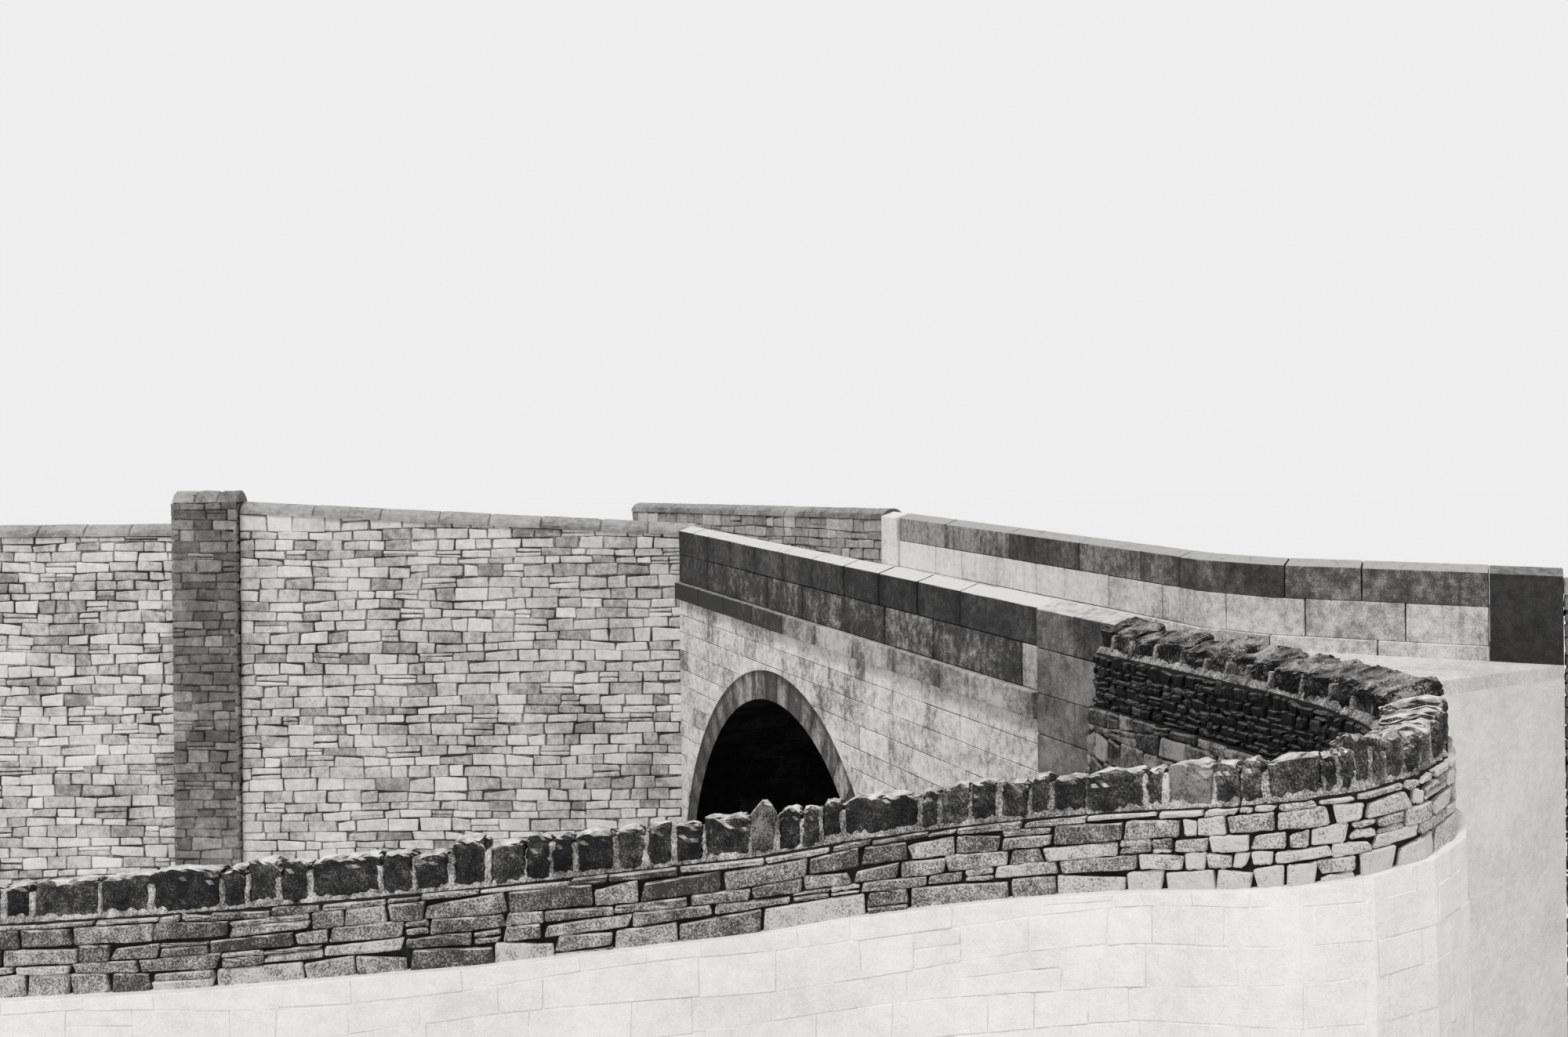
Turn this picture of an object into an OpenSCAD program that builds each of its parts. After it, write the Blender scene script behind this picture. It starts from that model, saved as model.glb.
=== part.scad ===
// Single-arch stone bridge with a raked roadway, dressed parapets, retaining
// walls on the left bank and a dry-stone wall that sweeps round on the right bank.
// X runs along the road towards the right bank, Y across it towards the far side,
// Z up from the river bed. Sizes are in millimetres, angles in degrees.

/* [Arch] */
// Clear span of the semicircular arch
arch_span = 7920; // [6000:20:9000]
// Height of the springing line above the river bed
springing_h = 610; // [300:10:1500]
// Depth of the voussoirs, from intrados to extrados
ring_depth = 450; // [300:10:600]
// How far the face voussoirs reach into the bridge
ring_bed = 460; // [300:10:800]
// Number of voussoirs in each face ring
voussoir_count = 27; // [15:2:41]
// Open joint between neighbouring stones
stone_joint = 6; // [2:1:12]
// Masonry over the crown, from extrados to the underside of the string course
crown_cover = 650; // [300:10:1200]
// Thickness of the abutments behind the springing
abutment_t = 1200; // [800:50:2000]

/* [Roadway] */
// Clear width between the parapets
road_w = 3790; // [3000:10:5000]
// Fall of the road towards the right bank, in percent
grade_percent = 3.6; // [0:0.1:6]
// Height from the near string course up to the road surface, negative is below it
road_over_string = -40; // [-120:10:60]
// Thickness of the gravelled carriageway
carriageway_t = 160; // [80:10:300]
// Length of one kerb stone
kerb_len = 900; // [500:50:1500]
// Width of the kerb stones
kerb_w = 180; // [100:10:300]
// Height of the kerb stones over the road
kerb_h = 70; // [40:5:150]

/* [Parapets] */
// Thickness of the parapets
parapet_t = 460; // [350:10:600]
// Height of the coping stones
coping_h = 500; // [300:5:650]
// How far the coping's top falls from its middle to each face
coping_fall = 80; // [0:5:150]
// Height of the course below the coping
course_h = 480; // [300:10:600]
// Height of the string course
string_h = 290; // [150:10:350]
// Projection of the string course from the outer face
string_out = 90; // [30:5:150]
// Projection of the far string course on the road side
ledge_out = 60; // [20:5:120]
// How much higher the far parapet stands than the near one
far_rise = 140; // [0:10:250]
// Length of a near coping stone
near_coping_len = 1155; // [800:5:1600]
// Length of a near course stone
near_course_len = 1420; // [900:10:1800]
// Length of the small closing stone at the right end of the near course
closer_len = 280; // [200:10:500]
// Length of a far coping stone
far_coping_len = 2150; // [1200:10:2600]
// Length of a far course stone
far_course_len = 1310; // [900:10:1800]
// Length of the near end piers
near_pier_len = 1550; // [1000:10:2000]
// Projection of the right pilaster from the near face
pilaster_out = 40; // [0:5:100]
// Length of the far left pier
far_left_pier_len = 700; // [500:10:1000]
// Length of the far right pier
far_right_pier_len = 830; // [500:10:1200]
// Projection of the far piers on the road side
pier_out = 50; // [0:5:100]

/* [Banks] */
// Length of the near face beyond the extrados on the left bank
left_shoulder = 90; // [50:10:600]
// Length of the near face beyond the extrados on the right bank
right_bank_len = 5290; // [3500:10:6500]

/* [Flare] */
// Where the far parapet starts to bend outwards, beyond the springing
flare_lead = 520; // [500:20:1000]
// Radius of the bend along the road-side face
flare_radius = 2500; // [1500:50:4000]
// Angle of the bend
flare_angle = 46; // [20:1:60]
// Length of the straight stretch after the bend
flare_run = 2100; // [1500:50:3500]
// Number of angled joints that make the bend
flare_kinks = 2; // [1:1:5]
// Number of stones along the straight stretch after the bend
flare_run_stones = 2; // [1:1:4]

/* [Left bank walls] */
// Length of the river wall from the bridge to its break
river_wall_len = 7700; // [4000:50:10000]
// Angle of the river wall from the road axis
river_wall_angle = 111; // [95:1:130]
// Thickness of the river wall
river_wall_t = 550; // [400:10:900]
// Climb of the river wall's coping crest from the near parapet to the strip
river_wall_rise = 500; // [0:10:900]
// Length of the pilaster strip at the break
break_len = 1150; // [500:10:1400]
// Projection of the pilaster strip
break_out = 120; // [50:5:250]
// Height of the strip over the river wall's crest
break_rise = 200; // [0:10:400]
// Length of the river wall beyond the pilaster strip
river_far_len = 3400; // [2000:50:6000]
// How much lower the river wall is beyond the strip
river_far_drop = 380; // [0:10:500]
// Length of the far left approach wall
approach_len = 10000; // [4000:50:11000]
// Turn of the far left approach wall from the road axis
approach_turn = 12; // [0:1:30]
// Thickness of the approach walls
approach_t = 420; // [300:10:600]
// Height of the approach wall's coping crest over the far left pier
approach_rise = 60; // [0:10:400]
// Height of the half-round copings
round_coping_h = 210; // [150:10:300]
// Length of the right approach wall beyond the far right pier
right_approach_len = 2600; // [1500:50:4000]

/* [Dry-stone lane wall] */
// Length of the nearly straight stretch from the bridge
return_len = 3400; // [2000:50:5000]
// Heading of the first leg from the road axis
return_heading = -3.5; // [-10:0.5:4]
// Turn of the nearly straight stretch
return_turn = -5; // [-15:1:0]
// Length of the bend before the corner
bend_len = 2150; // [1500:50:3500]
// Turn of the bend before the corner
bend_turn = -21; // [-30:1:-10]
// Radius of the corner on the wall's centre line
corner_radius = 720; // [620:10:1000]
// Turn of the corner
corner_turn = -125; // [-135:1:-100]
// Length of the front stretch up to its change of curve
front_len = 3500; // [2500:50:5000]
// Turn of the front stretch
front_turn = 49; // [30:1:55]
// Length of the tail stretch
tail_len = 5700; // [3000:50:7000]
// Turn of the tail stretch
tail_turn = -19; // [-30:1:-5]
// Height of the wall above the lane, cope included
lane_wall_h = 815; // [600:5:1200]
// Thickness of the wall at the lane's level
lane_wall_t = 520; // [400:10:700]
// Inward lean of each face, in millimetres for each metre of height
lane_batter = 25; // [0:1:30]
// Footing offset on each face at the lane's level
footing_out = 60; // [20:5:150]
// Height of the upright cope stones
cope_h = 300; // [200:10:400]
// Width of the cope across the wall
cope_w = 440; // [300:10:600]
// Height of the cope's crest over the parapet where it meets the bridge (negative: below)
lane_start_rise = -45; // [-150:5:150]
// Fall of the crest round the corner
corner_fall = 345; // [100:5:600]
// Fall of the crest along the front stretch
front_fall = 530; // [200:5:900]
// Fall of the crest along the tail stretch
tail_fall = 535; // [200:5:900]

/* [Hidden] */

$fn = 96;
metre = 1000;
percent = 100;
// Longer and taller than anything that is cut
reach = 40 * metre;
// Cutting reach along a leg and across a wall
over = metre;
// How far the cut of a mitre reaches past a wall's faces
side_margin = 60;
// Hairline between the lengths in which the lane wall's lower part is built
seam = 0.4;
sooty_stone = [0.30, 0.29, 0.28];
dressed_stone = [0.62, 0.61, 0.59];
pale_stone = [0.78, 0.77, 0.74];
rubble_stone = [0.50, 0.49, 0.47];
lane_stone = [0.42, 0.41, 0.40];
gravel = [0.72, 0.71, 0.68];

grade = grade_percent / percent;
intrados_r = arch_span / 2;
extrados_r = intrados_r + ring_depth;
near_left_x = -(extrados_r + left_shoulder);
near_right_x = extrados_r + right_bank_len;
pilaster_x = near_right_x - near_pier_len;
near_parapet_x = near_left_x + near_pier_len;
far_in_y = parapet_t + road_w;
far_out_y = far_in_y + parapet_t;
far_left_x = near_left_x - far_left_pier_len;
flare_x = intrados_r + flare_lead;

// Levels over the arch's centre line, from which every course is raked
string_base = springing_h + extrados_r + crown_cover;
string_top = string_base + string_h;
course_top = string_top + course_h;
parapet_top = course_top + coping_h;
road_level = string_top + road_over_string;

// The part's reference point: the middle of the right abutment's foot
datum = [intrados_r + abutment_t / 2, far_out_y / 2, 0];

// Directions and wall paths in plan
function heading(a) = [cos(a), sin(a)];
function left_of(a) = [-sin(a), cos(a)];
function bearing(p, i) = atan2(p[i + 1][1] - p[i][1], p[i + 1][0] - p[i][0]);
function normal(p, i) = left_of(bearing(p, i));
function mitre(p, i, off) =
    i == 0 ? p[0] + off * normal(p, 0)
    : i == len(p) - 1 ? p[i] + off * normal(p, i - 1)
    : p[i] + off * (normal(p, i - 1) + normal(p, i)) / (1 + normal(p, i - 1) * normal(p, i));

// Points along a bend of the given length and turn, the first one left out
function bend(start, a, length, turn, pieces, done = 0) =
    done == pieces ? []
    : let (next = start + length / pieces * heading(a + turn * (done + 0.5) / pieces))
      concat([next], bend(next, a, length, turn, pieces, done + 1));

// Road-side face of the flared parapet, from the bend's start to the pier
flare_centre = [flare_x, far_in_y + flare_radius];
flare_dir = heading(flare_angle);
kink_angle = flare_angle / flare_kinks;
flare_bend = [for (i = [1 : flare_kinks])
    flare_centre - flare_radius / cos(kink_angle / 2) * left_of((i - 0.5) * kink_angle)];
flare_last_kink = flare_bend[flare_kinks - 1];
flare_tip = flare_centre - flare_radius * left_of(flare_angle) + flare_dir * flare_run;
flare_line = [for (i = [1 : flare_run_stones])
    flare_last_kink + (flare_tip - flare_last_kink) * i / flare_run_stones];
flare_path = concat([[flare_x, far_in_y]], flare_bend, flare_line);
flare_end = flare_path[len(flare_path) - 1];
right_pier_end = flare_end + flare_dir * far_right_pier_len;
right_approach_end = right_pier_end + flare_dir * right_approach_len;

// Overhang of the half-round copings on each side of their wall
crest_overhang = 30;
wall_bed = max(ring_bed, parapet_t);

// Centre line of the river wall; its river face starts where the near face ends
river_dir = heading(-river_wall_angle);
river_side = left_of(-river_wall_angle);
river_start = [near_left_x, 0] - river_side * river_wall_t / 2;
river_end = river_start + river_dir * river_wall_len;
near_left_top = parapet_top - grade * near_left_x;
river_wall_top = near_left_top + river_wall_rise;
river_stations = [-parapet_t * 2, river_wall_len];
river_path = [for (s = river_stations) river_start + river_dir * s];
river_body_top = [near_left_top, river_wall_top] - round_coping_h * [1, 1];

// The stretch beyond the pilaster strip, and the height of its body
river_far_path = [river_end + river_dir * break_len, river_end + river_dir * (break_len + river_far_len)];
river_far_body = river_wall_top - river_far_drop - round_coping_h;

// Centre line of the left approach wall, from the far left pier outwards
approach_dir = heading(180 + approach_turn);
approach_start = [far_left_x, far_in_y] - left_of(180 + approach_turn) * approach_t / 2;
approach_path = [approach_start - approach_dir * approach_t, approach_start + approach_dir * approach_len];
approach_body_top = parapet_top + far_rise - grade * far_left_x + approach_rise - round_coping_h;

// Centre line of the right approach wall, from the far right pier outwards
approach_step = 100;
right_approach_path = [
    right_pier_end + left_of(flare_angle) * approach_t / 2,
    right_approach_end + left_of(flare_angle) * approach_t / 2
];
right_approach_body = parapet_top + far_rise - grade * right_pier_end[0] - approach_step
    - round_coping_h;

// Centre line of the dry-stone lane wall
return_pieces = 3;
bend_pieces = 3;
corner_pieces = 5;
front_pieces = 5;
tail_pieces = 3;
corner_len = corner_radius * abs(corner_turn) * PI / 180;
bend_heading = return_heading + return_turn;
corner_heading = bend_heading + bend_turn;
front_heading = corner_heading + corner_turn;
tail_heading = front_heading + front_turn;
lane_start = [near_right_x, -pilaster_out];
return_path = bend(lane_start, return_heading, return_len, return_turn, return_pieces);
bend_path = bend(return_path[return_pieces - 1], bend_heading, bend_len, bend_turn, bend_pieces);
corner_path = bend(bend_path[bend_pieces - 1], corner_heading, corner_len, corner_turn, corner_pieces);
front_path = bend(corner_path[corner_pieces - 1], front_heading, front_len, front_turn, front_pieces);
tail_path = bend(front_path[front_pieces - 1], tail_heading, tail_len, tail_turn, tail_pieces);
lane_path = concat([lane_start], return_path, bend_path, corner_path, front_path, tail_path);
corner_from = return_pieces + bend_pieces;
front_from = corner_from + corner_pieces;
tail_from = front_from + front_pieces;
lane_legs = tail_from + tail_pieces;

// Crest of the lane wall's cope at a point of its path; the level of the lane at its highest
lane_start_top = parapet_top - grade * near_right_x + lane_start_rise;
lane_level = lane_start_top - lane_wall_h;
function share(i, from, to) = max(0, min(1, (i - from) / (to - from)));
function crest(i) = lane_start_top - corner_fall * share(i, corner_from, front_from)
    - front_fall * share(i, front_from, tail_from) - tail_fall * share(i, tail_from, lane_legs);

// Moves the bridge to its reference point
module placed() {
    translate(-datum) children();
}

// Stands a drawing of X and Z up between two distances across the bridge
module elevation(y_from, y_to) {
    translate([0, y_to, 0]) rotate([90, 0, 0]) linear_extrude(height = y_to - y_from) children();
}

// Outline of a raked band between two levels over the arch's centre line
module raked_band(x_from, x_to, low, high) {
    polygon([
        [x_from, low - grade * x_from], [x_to, low - grade * x_to],
        [x_to, high - grade * x_to], [x_from, high - grade * x_from]
    ]);
}

// Outline from the bed up to a raked top
module raked_wall(x_from, x_to, high) {
    polygon([
        [x_from, 0], [x_to, 0],
        [x_to, high - grade * x_to], [x_from, high - grade * x_from]
    ]);
}

// Row of raked blocks of one length, with open joints; the last takes what is left
module raked_blocks(x_from, x_to, low, high, block) {
    count = max(1, floor((x_to - x_from) / block - 0.4));
    for (i = [0 : count - 1]) {
        start = x_from + i * block;
        end = i == count - 1 ? x_to : start + block;
        raked_band(start + stone_joint / 2, end - stone_joint / 2, low, high);
    }
}

// Opening under the arch, widened by the ring where the ring is built in
module arch_opening(radius) {
    translate([0, springing_h]) intersection() {
        circle(r = radius);
        translate([-reach / 2, 0]) square([reach, reach]);
    }
    translate([-intrados_r, -metre]) square([arch_span, springing_h + metre]);
}

// Plan of one leg of a wall between two offsets to the left of its path
module leg_plan(p, i, off_from, off_to, joint = 0) {
    trim = joint / 2 * heading(bearing(p, i));
    polygon([
        mitre(p, i, off_from) + trim, mitre(p, i + 1, off_from) - trim,
        mitre(p, i + 1, off_to) - trim, mitre(p, i, off_to) + trim
    ]);
}

// Raked slab over the whole bridge, to cut plan shapes to a course
module course_slab(low, high) {
    elevation(-reach / 2, reach / 2) raked_band(-reach / 2, reach / 2, low, high);
}

// Slopes the raked top of what it holds down to both faces, along a line in plan from a point,
// between two offsets to the left of that line
module weathered(start, a, off_from, off_to, high) {
    half = (off_to - off_from) / 2;
    ridge = start + (off_from + half) * left_of(a);
    intersection() {
        children();
        translate([ridge[0], ridge[1], high - grade * ridge[0]])
            rotate([0, atan(grade * cos(a)), a]) translate([-reach / 2, 0, 0])
                rotate([90, 0, 90]) linear_extrude(height = reach) polygon([
                    [-half, -reach], [half, -reach],
                    [half, -coping_fall], [0, 0], [-half, -coping_fall]
                ]);
    }
}

// Stones of one course round the flare
module flare_stones_at(low, high, off_from, off_to) {
    for (i = [0 : len(flare_path) - 2])
        intersection() {
            linear_extrude(height = reach) leg_plan(flare_path, i, off_from, off_to, stone_joint);
            course_slab(low, high);
        }
}

// One leg of a sloping wall with leaning faces: heights at both ends, half-widths at two levels
module sloping_leg(p, i, low, high, half_low, half_high, level_high, joint = 0) {
    run = norm(p[i + 1] - p[i]);
    low_slope = (low[1] - low[0]) / run;
    high_slope = (high[1] - high[0]) / run;
    intersection() {
        linear_extrude(height = reach)
            leg_plan(p, i, -half_low - side_margin, half_low + side_margin, joint);
        translate([p[i][0], p[i][1], 0]) rotate([0, 0, bearing(p, i)]) intersection() {
            elevation(-over, over) polygon([
                [-over, low[0] - low_slope * over], [run + over, low[1] + low_slope * over],
                [run + over, high[1] + high_slope * over], [-over, high[0] - high_slope * over]
            ]);
            translate([-over, 0, 0]) rotate([90, 0, 90]) linear_extrude(height = run + 2 * over)
                polygon([
                    [-half_low, 0], [half_low, 0],
                    [half_high, level_high], [-half_high, level_high]
                ]);
        }
    }
}

// Arch ring: wedge-shaped voussoirs on a semicircle
module voussoir_ring() {
    step = 180 / voussoir_count;
    for (i = [0 : voussoir_count - 1])
        translate([0, springing_h]) intersection() {
            difference() {
                circle(r = extrados_r);
                circle(r = intrados_r);
            }
            polygon([
                joint_point(i * step, intrados_r / 2, 1), joint_point(i * step, extrados_r * 2, 1),
                joint_point((i + 1) * step, extrados_r * 2, -1),
                joint_point((i + 1) * step, intrados_r / 2, -1)
            ]);
        }
}

// A point on the edge of the radial joint at an angle, on one side of the joint
function joint_point(a, radius, way) = radius * heading(a) + way * stone_joint / 2 * left_of(a);

module near_ring() {
    color(dressed_stone) placed() elevation(0, ring_bed) voussoir_ring();
}

module far_ring() {
    color(dressed_stone) placed() elevation(far_out_y - ring_bed, far_out_y) voussoir_ring();
}

module barrel() {
    color(rubble_stone) placed() elevation(ring_bed, far_out_y - ring_bed)
        difference() {
            arch_opening(extrados_r);
            arch_opening(intrados_r);
        }
}

// One abutment from the springing outwards, below the barrel's foot
module abutment(x_from) {
    elevation(ring_bed, far_out_y - ring_bed)
        translate([x_from, 0]) square([abutment_t, springing_h]);
}

module left_abutment() {
    color(rubble_stone) placed() abutment(-intrados_r - abutment_t);
}

module right_abutment() {
    color(rubble_stone) placed() abutment(intrados_r);
}

module near_spandrel() {
    color(dressed_stone) placed() elevation(0, ring_bed) difference() {
        raked_wall(near_left_x, pilaster_x, string_base);
        arch_opening(extrados_r);
    }
}

module far_spandrel() {
    color(dressed_stone) placed() elevation(far_out_y - ring_bed, far_out_y) difference() {
        raked_wall(far_left_x, flare_x, string_base + far_rise);
        arch_opening(extrados_r);
    }
}

module near_string() {
    color(dressed_stone) placed() elevation(-string_out, parapet_t)
        raked_band(near_left_x, pilaster_x, string_base, string_top);
}

module near_course() {
    color(sooty_stone) placed() elevation(0, parapet_t) {
        raked_blocks(near_parapet_x, pilaster_x - closer_len, string_top, course_top, near_course_len);
        raked_blocks(pilaster_x - closer_len, pilaster_x, string_top, course_top, closer_len);
    }
}

module near_coping() {
    color(sooty_stone) placed() weathered([0, 0], 0, 0, parapet_t, parapet_top)
        elevation(0, parapet_t)
            raked_blocks(near_parapet_x, pilaster_x, course_top, parapet_top, near_coping_len);
}

module near_left_pier() {
    color(sooty_stone) placed() weathered([0, 0], 0, 0, parapet_t, parapet_top)
        elevation(0, parapet_t)
            raked_blocks(near_left_x, near_parapet_x, string_top, parapet_top, near_pier_len / 2);
}

module right_pilaster() {
    color(sooty_stone) placed() weathered([0, 0], 0, -pilaster_out, parapet_t, parapet_top)
        elevation(-pilaster_out, parapet_t) raked_wall(pilaster_x, near_right_x, parapet_top);
}

module far_string() {
    color(pale_stone) placed() elevation(far_in_y - ledge_out, far_out_y + string_out)
        raked_band(far_left_x, flare_x, string_base + far_rise, string_top + far_rise);
}

module far_course() {
    color(pale_stone) placed() elevation(far_in_y, far_out_y)
        raked_blocks(near_left_x, flare_x, string_top + far_rise, course_top + far_rise, far_course_len);
}

module far_coping() {
    low = course_top + far_rise;
    high = parapet_top + far_rise;
    color(dressed_stone) placed() weathered([0, far_in_y], 0, 0, parapet_t, high)
        elevation(far_in_y, far_out_y)
            raked_blocks(near_left_x, flare_x, low, high, far_coping_len);
}

module far_left_pier() {
    high = parapet_top + far_rise;
    color(pale_stone) placed() weathered([0, far_in_y], 0, -pier_out, parapet_t, high)
        elevation(far_in_y - pier_out, far_out_y)
            raked_band(far_left_x, near_left_x, string_top + far_rise, high);
}

module far_right_pier() {
    high = parapet_top + far_rise;
    color(sooty_stone) placed() weathered(flare_end, flare_angle, -pier_out, parapet_t, high)
        intersection() {
            linear_extrude(height = reach) leg_plan([flare_end, right_pier_end], 0, -pier_out, parapet_t);
            course_slab(-reach, high + coping_fall);
        }
}

module flare_wing() {
    color(rubble_stone) placed() intersection() {
        linear_extrude(height = reach)
            for (i = [0 : len(flare_path) - 2]) leg_plan(flare_path, i, 0, parapet_t);
        course_slab(-reach, string_base + far_rise);
    }
}

module flare_string() {
    color(pale_stone) placed()
        flare_stones_at(string_base + far_rise, string_top + far_rise, -ledge_out, parapet_t + string_out);
}

module flare_course() {
    color(pale_stone) placed()
        flare_stones_at(string_top + far_rise, course_top + far_rise, 0, parapet_t);
}

module flare_coping() {
    high = parapet_top + far_rise;
    color(dressed_stone) placed() for (i = [0 : len(flare_path) - 2])
        weathered(flare_path[i], bearing(flare_path, i), 0, parapet_t, high) intersection() {
            linear_extrude(height = reach) leg_plan(flare_path, i, 0, parapet_t, stone_joint);
            course_slab(course_top + far_rise, high + coping_fall);
        }
}

// Plan between the walls: the bridge's straight part and the splay on the right bank
module road_plan(near_edge, far_edge, flare_off) {
    inward = -pier_out * left_of(flare_angle);
    polygon(concat(
        [[far_left_x, near_edge], [near_right_x, near_edge], right_pier_end + inward, flare_end + inward],
        [for (i = [len(flare_path) - 1 : -1 : 0]) mitre(flare_path, i, flare_off)],
        [[flare_x, far_edge], [far_left_x, far_edge]]
    ));
}

module road_fill() {
    color(rubble_stone) placed() difference() {
        intersection() {
            linear_extrude(height = reach) road_plan(wall_bed, far_out_y - wall_bed, 0);
            course_slab(-reach, road_level - carriageway_t);
        }
        elevation(-metre, far_out_y + metre) {
            arch_opening(extrados_r);
            translate([-intrados_r - abutment_t, -metre])
                square([arch_span + 2 * abutment_t, springing_h + metre]);
        }
    }
}

module carriageway() {
    color(gravel) placed() intersection() {
        linear_extrude(height = reach) road_plan(parapet_t, far_in_y - ledge_out, -ledge_out);
        course_slab(road_level - carriageway_t, road_level);
    }
}

module kerb_stones() {
    color(pale_stone) placed() elevation(far_in_y - ledge_out - kerb_w, far_in_y - ledge_out)
        raked_blocks(near_left_x, flare_x, road_level, road_level + kerb_h, kerb_len);
}

// Section of a half-round coping, standing on its wall
module crest_section(width) {
    radius = (width * width / 4 + round_coping_h * round_coping_h) / (2 * round_coping_h);
    intersection() {
        translate([0, round_coping_h - radius]) circle(r = radius);
        translate([-width / 2, 0]) square([width, round_coping_h]);
    }
}

// Half-round coping along one leg, between the heights of its two ends
module crest_leg(p, i, heights, width) {
    run = norm(p[i + 1] - p[i]);
    slope = atan2(heights[1] - heights[0], run);
    intersection() {
        linear_extrude(height = reach)
            leg_plan(p, i, -width / 2 - side_margin, width / 2 + side_margin, stone_joint);
        translate([p[i][0], p[i][1], heights[0]]) rotate([0, -slope, bearing(p, i)])
            translate([-over, 0, 0]) rotate([90, 0, 90])
                linear_extrude(height = run + 2 * over) crest_section(width);
    }
}

// Keeps what lies beyond the bridge's left end and on the near side of the roadway
module left_of_bridge(x_limit, y_limit) {
    intersection() {
        children();
        translate([x_limit - reach, y_limit - reach, 0]) cube([reach, reach, reach]);
    }
}

module river_wall() {
    heights = river_body_top;
    color(rubble_stone) placed() left_of_bridge(near_left_x, parapet_t)
        translate(river_start) rotate([0, 0, -river_wall_angle])
            elevation(-river_wall_t / 2, river_wall_t / 2) polygon(concat(
                [[river_stations[0], 0], [river_wall_len, 0]],
                [for (i = [1 : -1 : 0]) [river_stations[i], heights[i]]]
            ));
}

module river_wall_coping() {
    color(rubble_stone) placed() left_of_bridge(near_left_x - stone_joint, parapet_t)
        for (i = [0 : len(river_path) - 2])
            crest_leg(river_path, i, [river_body_top[i], river_body_top[i + 1]],
                river_wall_t + 2 * crest_overhang);
}

module river_wall_break() {
    color(rubble_stone) placed() linear_extrude(height = river_wall_top + break_rise)
        leg_plan([river_end, river_end + river_dir * break_len], 0,
            -river_wall_t / 2, river_wall_t / 2 + break_out);
}

module river_far_wall() {
    color(rubble_stone) placed() linear_extrude(height = river_far_body)
        leg_plan(river_far_path, 0, -river_wall_t / 2, river_wall_t / 2);
}

module river_far_coping() {
    color(rubble_stone) placed()
        crest_leg(river_far_path, 0, river_far_body * [1, 1], river_wall_t + 2 * crest_overhang);
}

module left_approach_wall() {
    color(rubble_stone) placed() left_of_bridge(far_left_x, reach / 2)
        linear_extrude(height = approach_body_top)
            leg_plan(approach_path, 0, -approach_t / 2, approach_t / 2);
}

module left_approach_coping() {
    color(rubble_stone) placed() left_of_bridge(far_left_x - stone_joint, reach / 2)
        crest_leg(approach_path, 0, approach_body_top * [1, 1], approach_t + 2 * crest_overhang);
}

module right_approach_wall() {
    color(rubble_stone) placed() linear_extrude(height = right_approach_body)
        leg_plan(right_approach_path, 0, -approach_t / 2, approach_t / 2);
}

module right_approach_coping() {
    color(rubble_stone) placed()
        crest_leg(right_approach_path, 0, right_approach_body * [1, 1], approach_t + 2 * crest_overhang);
}

// Lower part of the lane wall, from the bed up to the lane, with leaning faces
module lane_wall_base() {
    color(lane_stone) placed() for (i = [0 : lane_legs - 1]) {
        lane = [crest(i) - lane_wall_h, crest(i + 1) - lane_wall_h];
        half = lane_wall_t / 2 + footing_out;
        sloping_leg(lane_path, i, [0, 0], lane, half + lane_batter * lane_level / metre, half,
            lane_level, seam);
    }
}

// Stones of the lane wall over a span of legs, between two depths below the crest
module lane_legs_at(first, last, depth_low, depth_high, width) {
    for (i = [first : last])
        sloping_leg(lane_path, i, [crest(i) - depth_low, crest(i + 1) - depth_low],
            [crest(i) - depth_high, crest(i + 1) - depth_high], width / 2, width / 2, reach,
            stone_joint);
}

module return_wall() {
    color(lane_stone) placed() lane_legs_at(0, corner_from - 1, lane_wall_h, cope_h, lane_wall_t);
}

module corner_wall() {
    color(lane_stone) placed() lane_legs_at(corner_from, front_from - 1, lane_wall_h, cope_h, lane_wall_t);
}

module front_wall() {
    color(lane_stone) placed() lane_legs_at(front_from, lane_legs - 1, lane_wall_h, cope_h, lane_wall_t);
}

module return_cope() {
    color(lane_stone) placed() lane_legs_at(0, corner_from - 1, cope_h, 0, cope_w);
}

module corner_cope() {
    color(lane_stone) placed() lane_legs_at(corner_from, front_from - 1, cope_h, 0, cope_w);
}

module front_cope() {
    color(lane_stone) placed() lane_legs_at(front_from, lane_legs - 1, cope_h, 0, cope_w);
}

barrel();
near_ring();
far_ring();
near_spandrel();
far_spandrel();
left_abutment();
right_abutment();
near_string();
near_course();
near_coping();
near_left_pier();
right_pilaster();
far_string();
far_course();
far_coping();
far_left_pier();
far_right_pier();
flare_wing();
flare_string();
flare_course();
flare_coping();
road_fill();
carriageway();
kerb_stones();
river_wall();
river_wall_coping();
river_wall_break();
river_far_wall();
river_far_coping();
left_approach_wall();
left_approach_coping();
right_approach_wall();
right_approach_coping();
lane_wall_base();
return_wall();
corner_wall();
front_wall();
return_cope();
corner_cope();
front_cope();
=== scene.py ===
import functools
import itertools
import math

import bmesh
import bpy
import numpy as np
from mathutils import Matrix


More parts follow.
